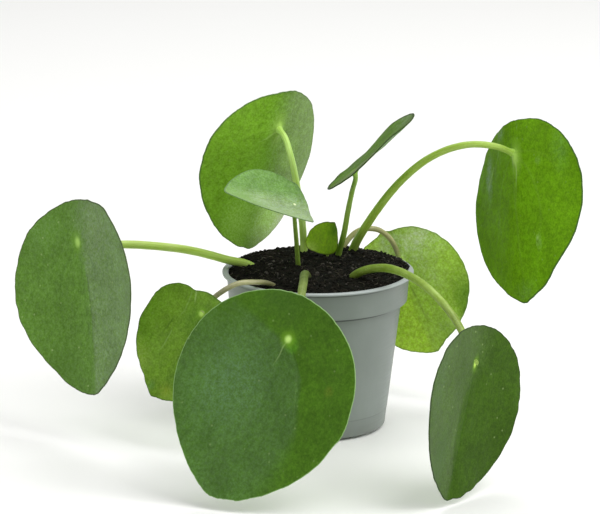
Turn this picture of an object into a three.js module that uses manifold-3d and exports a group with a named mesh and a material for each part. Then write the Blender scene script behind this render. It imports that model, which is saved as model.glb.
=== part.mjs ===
// A potted Chinese money plant: ten round leaves on long stems, which meet a short
// rootstock in a plastic nursery pot filled with peat.
// Millimetres, +Z up. The origin is the middle of the pot's underside. Seen along +Y, the
// plant shows the side that its largest leaf hangs on.

import * as THREE from 'three';
import { mergeVertices } from 'three/addons/utils/BufferGeometryUtils.js';
import Module from 'manifold-3d';

// Driving dimensions

const POT = {
  height: 75,
  lipRadius: 45,
  lipInner: 42.6,
  lipThickness: 1.4,
  bandTop: 42.8,
  bandFoot: 42,
  bandHeight: 13.7,
  wallTop: 39.2,
  wallFoot: 31.6,
  wall: 0.8,
  floorUnder: 1.1,
  floorThickness: 1.1,
  sides: 48,
};

const PAD = { radius: 6, taper: 0.5 };
const FOOT = { count: 6, inner: 25, outer: 28.8, span: 20, first: -48.5 };
const DRAIN = { count: 6, radius: 2.6, circle: 19 };

const SOIL = {
  rim: 73.9,
  mound: 2.6,
  flatness: 6,
  lean: 1.9,
  clearance: 0.35,
  rings: 5,
};

const ROOTSTOCK = {
  x: 1, y: 9, top: 66, shoulder: 5.4, belly: 51, waist: 6, foot: 44, tail: 3.4,
};

const BLADE = { thickness: 1, spokes: 32, rings: [0.3, 0.6, 0.84, 1] };
const STEM = { sides: 8, step: 9, buriedRun: 4 };
const TOUCH_GAP = 0.3;

const GREEN_ABOVE = 0x47752a;
const GREEN_BELOW = 0x5f9420;

// Each leaf: node is where its stem meets the blade. facing turns the upper face from the
// front to the right, tilt lifts it, and lean turns the tip in the blade's plane from
// straight down, all in degrees. hold is the share of the length behind the node, widest
// the share in front of which the blade narrows, point how far the tip is drawn in. cup,
// arch and vee bend the halves, the length and the midrib in degrees, and twist is in
// millimetres. ripple is [height, lobes, turn] of the waved edge, dents are
// [angle, width, depth] from the tip, in degrees and millimetres. The stem leaves the
// rootstock at root [turn, height] and passes through route, from the soil to the blade.

const LEAVES = {
  far_left: {
    node: [-111.5, -18, 93], facing: -42, tilt: 6, lean: 17,
    length: 91, width: 78.5, hold: 0.22, widest: 0.46, point: 0.37,
    cup: 12, arch: 8, vee: 6.5, twist: 1,
    ripple: [0.7, 5, 40], dents: [[-150, 16, 1.6], [35, 14, 1]],
    stem: {
      foot: 4, tip: 3.8, root: [184, 58],
      route: [[-32.5, 6, 75.8], [-42, 3, 79], [-60, 0, 84.5], [-81, -2, 87.5], [-96, -6, 89]],
    },
  },
  low_left: {
    node: [-53.5, -45, 66], facing: -28.5, tilt: 9, lean: -26,
    length: 56, width: 53, hold: 0.18, widest: 0.35, point: 0.2,
    cup: 3.5, arch: 6.5, vee: 0, twist: -1,
    ripple: [1.6, 4, -5], dents: [[-160, 7, 1.2], [-143, 9, -1], [18, 16, 0.9]],
    stem: {
      foot: 2.8, tip: 2.4, root: [230, 55.5],
      route: [[-22, -26, 74.8], [-29, -36.5, 78.6], [-37.5, -42, 79.2], [-47.5, -41, 72.8]],
    },
  },
  front: {
    node: [-13.5, -116, 73.5], facing: -21, tilt: 12, lean: -18,
    length: 97.5, width: 85, hold: 0.21, widest: 0.44, point: 0.32,
    cup: 9.5, arch: 19, vee: 5, twist: -1,
    ripple: [0.8, 5, 10], dents: [[-28, 14, 1.2]],
    stem: {
      foot: 4.3, tip: 3.6, root: [262, 61.5],
      route: [[-5.5, -15, 76.2], [-7, -46, 80.5], [-8, -74, 81.5], [-10.5, -100, 77.5]],
    },
  },
  back_left: {
    node: [-19, 25, 137.5], facing: 218.5, tilt: 13.5, lean: 6,
    length: 81.5, width: 69, hold: 0.23, widest: 0.47, point: 0.39,
    cup: 18, arch: 2, vee: 8.5, twist: 1,
    ripple: [0.6, 5, 70], dents: [[40, 18, -1], [-170, 14, -0.7], [-80, 16, 0.5]],
    stem: {
      foot: 3.8, tip: 2.8, root: [126, 60],
      route: [[-6.5, 28, 76.7], [-7.5, 23, 93.5], [-11, 17, 117.8], [-13.3, 16, 128], [-15.6, 19, 134.6]],
    },
  },
  small_left: {
    node: [-11, -12, 109.5], facing: 57.5, tilt: 53.5, lean: -117,
    length: 48, width: 38, hold: 0.17, widest: 0.47, point: 0.4,
    cup: 13, arch: 0, vee: 10, twist: 8,
    ripple: [0.4, 4, 30], dents: [[138, 12, -1.5], [162, 9, 0.8]],
    stem: {
      foot: 2.6, tip: 1.9, root: [204, 63],
      route: [[-9.3, 3.2, 76.4], [-9.9, -1, 86], [-11.1, -9.5, 103.5]],
    },
  },
  upper_middle: {
    node: [16.4, 4, 121.6], facing: -96.5, tilt: 48, lean: 167,
    length: 56.5, width: 44.5, hold: 0.25, widest: 0.38, point: 0.18,
    cup: 0, arch: 6, vee: 5.5, twist: 0,
    ripple: [0.7, 3, 180], dents: [[-150, 18, 0.8]],
    stem: {
      foot: 3.3, tip: 2.2, root: [50, 63],
      route: [[9.7, 20.5, 76.9], [12.2, 16, 88], [14.2, 12, 100.8], [16, 8, 111], [17.6, 4.6, 118.6]],
    },
  },
  upper_right: {
    node: [91, -8, 133], facing: 121, tilt: -14, lean: -25,
    length: 86.5, width: 81.5, hold: 0.19, widest: 0.46, point: 0.43,
    cup: 3.5, arch: 5, vee: 8.5, twist: -1,
    ripple: [0.7, 5, 130], dents: [[38, 14, 1.2], [-46, 12, 1]],
    stem: {
      foot: 4.6, tip: 2.9, root: [36, 56],
      route: [
        [16.5, 30, 76.3], [22, 22, 89.5], [37.5, 7, 116], [53.5, -6, 132],
        [69, -13, 138.6], [81.5, -13.5, 137.6],
      ],
    },
  },
  back_right: {
    node: [39.5, 46, 68.5], facing: 153.5, tilt: -6, lean: -25,
    length: 62, width: 62.5, hold: 0.24, widest: 0.48, point: 0.28,
    cup: 2, arch: 2, vee: 0.5, twist: 0,
    ripple: [0.6, 5, 60], dents: [[-20, 12, 2.2], [42, 15, 1.5]],
    stem: {
      foot: 2.4, tip: 2, root: [84, 56.5],
      route: [[11.2, 33, 76.3], [19.3, 38.5, 84.3], [28, 41, 84.6], [34.2, 42, 80.4], [38, 43.6, 73.5]],
    },
  },
  low_right: {
    node: [69, -112, 61], facing: 49.5, tilt: -1.5, lean: -19.5,
    length: 79.5, width: 68.5, hold: 0.225, widest: 0.44, point: 0.23,
    cup: 2, arch: 6, vee: 7.5, twist: -3,
    ripple: [0.7, 5, 20], dents: [[-38, 13, 1]],
    stem: {
      foot: 4.2, tip: 2.8, root: [308, 56.5],
      route: [
        [17.2, -14.5, 76.2], [30, -28, 83.2], [43.5, -48, 83.5], [55, -70, 78.8],
        [63.5, -92, 71.2],
      ],
    },
  },
  newest: {
    node: [3.9, 17, 82], facing: -36, tilt: 15, lean: 182,
    length: 15.5, width: 21.5, hold: 0.24, widest: 0.4, point: 0.05,
    cup: 3.5, arch: 0, vee: 21.5, twist: -3,
    ripple: [0.6, 3, 0], dents: [[-38, 20, -0.8]],
    stem: {
      foot: 1.8, tip: 1.5, root: [92, 64.5],
      route: [[4.4, 19.6, 76.6], [4.9, 19.2, 79.5]],
    },
  },
};

const wasm = await Module();
wasm.setup();

// Solids for cutting and joining

function toSolid(geometry) {
  const bare = geometry.clone();
  bare.deleteAttribute('normal');
  bare.deleteAttribute('uv');
  const merged = mergeVertices(bare, 1e-4);
  return new wasm.Manifold(new wasm.Mesh({
    numProp: 3,
    vertProperties: new Float32Array(merged.attributes.position.array),
    triVerts: new Uint32Array(merged.index.array),
  }));
}

function fromSolid(solid) {
  const mesh = solid.getMesh();
  const geometry = new THREE.BufferGeometry();
  geometry.setAttribute('position', new THREE.BufferAttribute(mesh.vertProperties, 3));
  geometry.setIndex(new THREE.BufferAttribute(mesh.triVerts, 1));
  return geometry;
}

function lathe(profile, sides) {
  const points = profile.map(([radius, height]) => new THREE.Vector2(radius, height));
  return new THREE.LatheGeometry(points, sides).rotateX(Math.PI / 2);
}

function closedGeometry(vertices, triangles) {
  const geometry = new THREE.BufferGeometry();
  const flat = vertices.flatMap((vertex) => vertex.toArray());
  geometry.setAttribute('position', new THREE.Float32BufferAttribute(flat, 3));
  geometry.setIndex(triangles);
  return geometry;
}

const radians = (degrees) => THREE.MathUtils.degToRad(degrees);

// Pot

function potBody() {
  const bandBottom = POT.height - POT.bandHeight;
  const floorTop = POT.floorUnder + POT.floorThickness;
  const draft = (POT.wallTop - POT.wallFoot) / (bandBottom - POT.floorUnder);
  const wallInner = (height) => POT.wallFoot + draft * (height - POT.floorUnder) - POT.wall;
  const ledge = bandBottom + 0.6;
  const underLip = POT.height - POT.lipThickness;
  return lathe([
    [0, 0],
    [PAD.radius, 0],
    [PAD.radius + PAD.taper, POT.floorUnder],
    [POT.wallFoot - 0.6, POT.floorUnder],
    [POT.wallFoot, POT.floorUnder + 0.6],
    [POT.wallTop, bandBottom + 0.3],
    [POT.bandFoot - 0.3, bandBottom],
    [POT.bandFoot, bandBottom + 0.4],
    [POT.bandTop, underLip - 0.3],
    [POT.lipRadius - 0.4, underLip],
    [POT.lipRadius, underLip + 0.4],
    [POT.lipRadius, POT.height - 0.4],
    [POT.lipRadius - 0.4, POT.height],
    [POT.lipInner, POT.height],
    [POT.bandTop - POT.wall, POT.height - 1],
    [POT.bandFoot - POT.wall, ledge],
    [wallInner(bandBottom), ledge - 0.4],
    [wallInner(floorTop + 0.8), floorTop + 0.8],
    [wallInner(floorTop) - 0.8, floorTop],
    [0, floorTop],
  ], POT.sides);
}

function potFoot(turn) {
  const start = radians(turn - FOOT.span / 2);
  const end = radians(turn + FOOT.span / 2);
  const shape = new THREE.Shape();
  shape.absarc(0, 0, FOOT.outer, start, end, false);
  shape.absarc(0, 0, FOOT.inner, end, start, true);
  shape.closePath();
  const depth = POT.floorUnder + 0.3;
  return new THREE.ExtrudeGeometry(shape, { depth, bevelEnabled: false, curveSegments: 4 });
}

function potGeometry() {
  let solid = toSolid(potBody());
  for (let i = 0; i < FOOT.count; i += 1) {
    solid = solid.add(toSolid(potFoot(FOOT.first + (360 / FOOT.count) * i)));
  }
  for (let i = 0; i < DRAIN.count; i += 1) {
    const turn = radians(FOOT.first + (360 / DRAIN.count) * (i + 0.5));
    const hole = new THREE.CylinderGeometry(DRAIN.radius, DRAIN.radius, 8, 12);
    hole.rotateX(Math.PI / 2);
    hole.translate(DRAIN.circle * Math.cos(turn), DRAIN.circle * Math.sin(turn), 0);
    solid = solid.subtract(toSolid(hole));
  }
  return fromSolid(solid);
}

// Leaf blades

const halfTurn = (angle) => (angle > 180 ? angle - 360 : angle);

function bladeFrame(leaf) {
  const facing = radians(leaf.facing);
  const tilt = radians(leaf.tilt);
  const normal = new THREE.Vector3(
    Math.sin(facing) * Math.cos(tilt),
    -Math.cos(facing) * Math.cos(tilt),
    Math.sin(tilt),
  );
  const down = new THREE.Vector3(0, 0, -1).addScaledVector(normal, normal.z).normalize();
  const across = normal.clone().cross(down);
  const along = down.multiplyScalar(Math.cos(radians(leaf.lean)));
  along.addScaledVector(across, Math.sin(radians(leaf.lean)));
  const side = normal.clone().cross(along);
  return { normal, along, side };
}

// A point of the blade's edge, measured from the node: turn 0 is the tip.
function bladeEdge(leaf, turn) {
  const c = Math.cos(turn);
  const reach = c > 0 ? 1 - leaf.widest : leaf.widest;
  const dent = leaf.dents.reduce((sum, [angle, width, depth]) => {
    const away = halfTurn((THREE.MathUtils.radToDeg(turn) - angle + 720) % 360) / width;
    return sum + depth * Math.exp(-away * away);
  }, 0);
  const draw = 1 - (2 * dent) / leaf.width;
  const u = leaf.length * (leaf.widest - leaf.hold + reach * c * draw);
  const v = (leaf.width / 2) * Math.sin(turn) * (1 - leaf.point * Math.max(c, 0) ** 2) * draw;
  return [u, v];
}

// How far a strip of the given length has moved along and up when its end is bent by degrees.
function bend(distance, span, degrees) {
  const angle = radians(degrees);
  if (Math.abs(angle) < 1e-6) return [distance, 0];
  const swept = (angle * distance) / span;
  return [(span / angle) * Math.sin(swept), (span / angle) * (1 - Math.cos(swept))];
}

function bladePoint(leaf, frame, share, turn, lift) {
  const [edgeU, edgeV] = bladeEdge(leaf, turn);
  const u = edgeU * share;
  const v = edgeV * share;
  const half = leaf.width / 2;
  const [run, rise] = bend(v, half, leaf.cup);
  const fold = radians(leaf.vee);
  const sideways = run * Math.cos(fold) - Math.sign(v) * rise * Math.sin(fold);
  const folded = Math.abs(run) * Math.sin(fold) + rise * Math.cos(fold);
  const [lengthways, arched] = bend(u, (1 - leaf.hold) * leaf.length, leaf.arch);
  const [height, lobes, phase] = leaf.ripple;
  const rippled = height * share ** 3 * Math.sin(lobes * turn + radians(phase));
  const twisted = (leaf.twist * (u / leaf.length) * v) / half;
  return new THREE.Vector3(...leaf.node)
    .addScaledVector(frame.along, lengthways)
    .addScaledVector(frame.side, sideways)
    .addScaledVector(frame.normal, folded + arched + rippled + twisted + lift);
}

function bladeGeometry(leaf) {
  const frame = bladeFrame(leaf);
  const { spokes, rings, thickness } = BLADE;
  const vertices = [];
  const triangles = [];
  const faceSize = 1 + spokes * rings.length;
  for (const lift of [thickness / 2, -thickness / 2]) {
    vertices.push(bladePoint(leaf, frame, 0, 0, lift));
    for (const share of rings) {
      for (let i = 0; i < spokes; i += 1) {
        const turn = (2 * Math.PI * i) / spokes;
        vertices.push(bladePoint(leaf, frame, share, turn, lift));
      }
    }
  }
  const at = (ring, spoke) => 1 + ring * spokes + (spoke % spokes);
  const bothFaces = (a, b, c) => {
    triangles.push(a, b, c, faceSize + a, faceSize + c, faceSize + b);
  };
  for (let i = 0; i < spokes; i += 1) {
    bothFaces(0, at(0, i), at(0, i + 1));
    for (let ring = 1; ring < rings.length; ring += 1) {
      bothFaces(at(ring - 1, i), at(ring, i), at(ring, i + 1));
      bothFaces(at(ring - 1, i), at(ring, i + 1), at(ring - 1, i + 1));
    }
    const here = at(rings.length - 1, i);
    const next = at(rings.length - 1, i + 1);
    triangles.push(here, faceSize + here, faceSize + next, here, faceSize + next, next);
  }
  return closedGeometry(vertices, triangles);
}

// Stems

// Above its belly the rootstock narrows evenly to its shoulder. All stems leave it there.
function rootstockRadius(height) {
  const { top, shoulder, belly, waist } = ROOTSTOCK;
  return THREE.MathUtils.mapLinear(height, belly, top, waist, shoulder);
}

// The stem's middle line, from the rootstock through its route to the blade's underside.
function stemCurve(leaf, frame, gap) {
  const [turn, height] = leaf.stem.root;
  const direction = new THREE.Vector3(Math.cos(radians(turn)), Math.sin(radians(turn)), 0);
  const start = new THREE.Vector3(ROOTSTOCK.x, ROOTSTOCK.y, height);
  const reach = rootstockRadius(height - leaf.stem.foot / 2) + gap;
  const root = start.clone().addScaledVector(direction, reach);
  const leaving = root.clone().addScaledVector(direction, STEM.buriedRun);
  const route = leaf.stem.route.map((point) => new THREE.Vector3(...point));
  const end = new THREE.Vector3(...leaf.node);
  end.addScaledVector(frame.normal, -(BLADE.thickness / 2 + TOUCH_GAP));
  return new THREE.CatmullRomCurve3([root, leaving, ...route, end], false, 'centripetal');
}

// A round bar along the curve, its section carried along without turning. Its last section
// lies in the plane of the blade's underside. extra makes it thicker and starts it sooner.
function stemGeometry(leaf, extra = 0) {
  const frame = bladeFrame(leaf);
  const curve = stemCurve(leaf, frame, TOUCH_GAP - extra);
  const steps = Math.max(4, Math.round(curve.getLength() / STEM.step));
  const { sides } = STEM;
  const vertices = [];
  const triangles = [];
  const across = new THREE.Vector3(0, 0, 1);
  for (let i = 0; i <= steps; i += 1) {
    const place = curve.getPointAt(i / steps);
    const forward = curve.getTangentAt(i / steps);
    across.addScaledVector(forward, -across.dot(forward)).normalize();
    const other = forward.clone().cross(across);
    const radius = THREE.MathUtils.lerp(leaf.stem.foot, leaf.stem.tip, i / steps) / 2 + extra;
    for (let k = 0; k < sides; k += 1) {
      const turn = (2 * Math.PI * k) / sides;
      const point = place.clone()
        .addScaledVector(across, radius * Math.cos(turn))
        .addScaledVector(other, radius * Math.sin(turn));
      if (i === steps) {
        const short = place.clone().sub(point).dot(frame.normal) / forward.dot(frame.normal);
        point.addScaledVector(forward, short);
      }
      vertices.push(point);
    }
  }
  for (let i = 0; i < steps; i += 1) {
    for (let k = 0; k < sides; k += 1) {
      const a = i * sides + k;
      const b = i * sides + ((k + 1) % sides);
      triangles.push(a, b, b + sides, a, b + sides, a + sides);
    }
  }
  const last = steps * sides;
  for (let k = 1; k < sides - 1; k += 1) {
    triangles.push(0, k + 1, k, last, last + k, last + k + 1);
  }
  return closedGeometry(vertices, triangles);
}

// Rootstock and soil

function rootstockGeometry(extra = 0) {
  const { x, y, top, shoulder, belly, waist, foot, tail } = ROOTSTOCK;
  return lathe([
    [0, foot - extra],
    [tail + extra, foot - extra],
    [waist + extra, belly],
    [shoulder + extra, top],
    [shoulder - 1.6, top + 1.2 + extra],
    [0, top + 1.6 + extra],
  ], 16).translate(x, y, 0);
}

function soilTop(x, y) {
  const radius = Math.min(Math.hypot(x, y) / POT.lipInner, 1);
  return SOIL.rim + SOIL.lean * (y / POT.lipInner) + SOIL.mound * (1 - radius ** SOIL.flatness);
}

function soilBody() {
  const gap = SOIL.clearance;
  const floor = POT.floorUnder + POT.floorThickness + gap;
  const edge = POT.bandTop - POT.wall - gap;
  const shoulder = POT.height - POT.bandHeight + 0.6 + gap;
  const topRings = Array.from({ length: SOIL.rings }, (_, i) => {
    const share = 1 - (i + 1) / SOIL.rings;
    return [edge * share, SOIL.rim];
  });
  const geometry = lathe([
    [0, floor],
    [POT.wallFoot - POT.wall - gap - 1.2, floor],
    [POT.wallFoot - POT.wall - gap, floor + 1.2],
    [POT.wallTop - POT.wall - gap, shoulder - 0.6],
    [POT.bandFoot - POT.wall - gap - 0.1, shoulder],
    [edge - 0.25, POT.height - 3.6],
    [edge, SOIL.rim],
    ...topRings,
  ], POT.sides);
  const place = geometry.attributes.position;
  for (let i = 0; i < place.count; i += 1) {
    if (place.getZ(i) > SOIL.rim - 0.01) {
      place.setZ(i, soilTop(place.getX(i), place.getY(i)));
    }
  }
  return geometry;
}

function soilGeometry() {
  let solid = toSolid(soilBody()).subtract(toSolid(rootstockGeometry(SOIL.clearance)));
  for (const leaf of Object.values(LEAVES)) {
    solid = solid.subtract(toSolid(stemGeometry(leaf, SOIL.clearance)));
  }
  return fromSolid(solid);
}

// Assembly

const plant = new THREE.Group();

function addPiece(name, geometry, color, roughness) {
  const material = new THREE.MeshStandardMaterial({ color, roughness, metalness: 0 });
  const mesh = new THREE.Mesh(geometry, material);
  mesh.name = name;
  plant.add(mesh);
}

addPiece('pot', potGeometry(), 0x8c958f, 0.55);
addPiece('soil', soilGeometry(), 0x1e1613, 0.95);
addPiece('rootstock', rootstockGeometry(), 0x6b5436, 0.8);
for (const [name, leaf] of Object.entries(LEAVES)) {
  const seenFromBelow = Math.abs(leaf.facing) > 100;
  addPiece(`stem_${name}`, stemGeometry(leaf), 0x8dac44, 0.5);
  addPiece(`leaf_${name}`, bladeGeometry(leaf), seenFromBelow ? GREEN_BELOW : GREEN_ABOVE, 0.45);
}

export default plant;
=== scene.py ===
# Dresses a potted Chinese money plant: ten round leaves on long stems, over peat in a plastic
# nursery pot. Metres, +Z up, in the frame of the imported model. Tables of sizes are millimetres.

import math
from types import SimpleNamespace as Table

import bpy
import numpy as np
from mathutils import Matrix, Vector, noise


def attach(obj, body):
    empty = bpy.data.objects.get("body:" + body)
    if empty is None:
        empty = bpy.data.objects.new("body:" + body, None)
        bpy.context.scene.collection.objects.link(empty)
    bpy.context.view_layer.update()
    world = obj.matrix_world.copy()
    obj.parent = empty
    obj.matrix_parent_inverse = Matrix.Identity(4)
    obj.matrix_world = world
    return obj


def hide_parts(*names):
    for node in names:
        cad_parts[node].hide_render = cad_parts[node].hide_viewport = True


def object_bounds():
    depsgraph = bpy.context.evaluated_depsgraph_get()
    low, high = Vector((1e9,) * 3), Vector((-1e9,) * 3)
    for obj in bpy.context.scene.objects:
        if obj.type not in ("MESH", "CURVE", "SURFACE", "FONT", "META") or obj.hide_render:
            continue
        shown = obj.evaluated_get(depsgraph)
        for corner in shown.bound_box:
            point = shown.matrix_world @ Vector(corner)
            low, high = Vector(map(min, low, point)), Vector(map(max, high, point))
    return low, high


bl_info = {
    "name": "Potted Chinese Money Plant",
    "version": (1, 0, 0),
    "blender": (4, 5, 0),
    "location": "View3D > Sidebar > Plant",
    "description": "Round leaves on long stems, over peat in a nursery pot",
    "category": "Add Mesh",
}

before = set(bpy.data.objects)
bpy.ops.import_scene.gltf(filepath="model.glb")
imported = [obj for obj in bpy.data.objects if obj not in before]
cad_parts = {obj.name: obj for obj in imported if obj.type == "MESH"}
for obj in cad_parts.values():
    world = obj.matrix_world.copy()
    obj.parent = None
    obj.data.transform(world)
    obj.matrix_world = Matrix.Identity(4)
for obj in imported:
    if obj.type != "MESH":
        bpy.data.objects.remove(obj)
CAD_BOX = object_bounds()
MM = 0.001

# The leaves, in millimetres and degrees. On a blade, u runs from the node, where the stem holds
# it, to the tip, and v across it. A turn about the node is 0 at the tip.
#
# As in the solids: node is the node's place, facing turns the upper face from the front to the
# right, tilt lifts it, and lean turns the tip in the blade's plane. hold, widest and point shape
# the outline, cup, arch and vee bend the blade, and twist turns it about its length. ripple is
# the (height, lobes, phase) of the edge's waves, and dents are the (turn, width, depth) of its
# notches. foot and tip are the stem's diameters, root is the (turn, height) where it leaves the
# rootstock, and route is its way from the soil to the blade. Three stems differ a little from
# the solids: back_right and low_right are thicker, and upper_right has another route.
#
# Finer shape: waves are the (turn, width, height) of more waves. edge and lift say how far the
# edge reaches out and up, in tenths of a millimetre at equal turns from the side opposite the
# tip. seam is the fold between the halves, as (u, v, softness). joint moves the place where the
# stem meets the lower face.
#
# Colours: above and below hold those of each face's two halves, and skin the stem's at its foot
# and its tip. The halves' colours are partly the leaf's own and partly painted light: a greyer
# half is painted sheen, a painted reflection of the studio's light, and the lower faces that show
# are painted lighter for light shining through the blade. margin is the edge's (colour,
# strength, width), and spot is the heart's (length, width, colour), where the stem joins: its
# own paler colour with a painted glint on it. marks are creases, as (strength, width, way), light
# ones above 0 and dark ones below; the dark ones are darker veins and painted shade in the
# creases. tones and blooms tint ovals, as (u, v, length, width, softness, strength, colour), and
# blooms break up in blotches. The whitish blooms are painted sheen, and back_left's light tones
# are painted light on the shade that the leaves in front cast on it. The rest are strengths: of
# the glow about the heart, its own lime with painted light shining through, the pale specks, the
# gloss, the patchy shade and the net of darker lines.


def leaf_table(**own):
    """One leaf's table: the usual values, with its own over them."""
    usual = dict(waves=(), lift=(0, 0), joint=(0, 0), seam=((0, 0, 1.6), (1, 0, 1.6)), marks=(),
                 tones=(), blooms=(), spot=(1.5, 1.2, "C0E678"), glow=0.35, specks=0.2, gloss=0.2,
                 patchy=0.1, net=0.03)
    return Table(**{**usual, **own})


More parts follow.
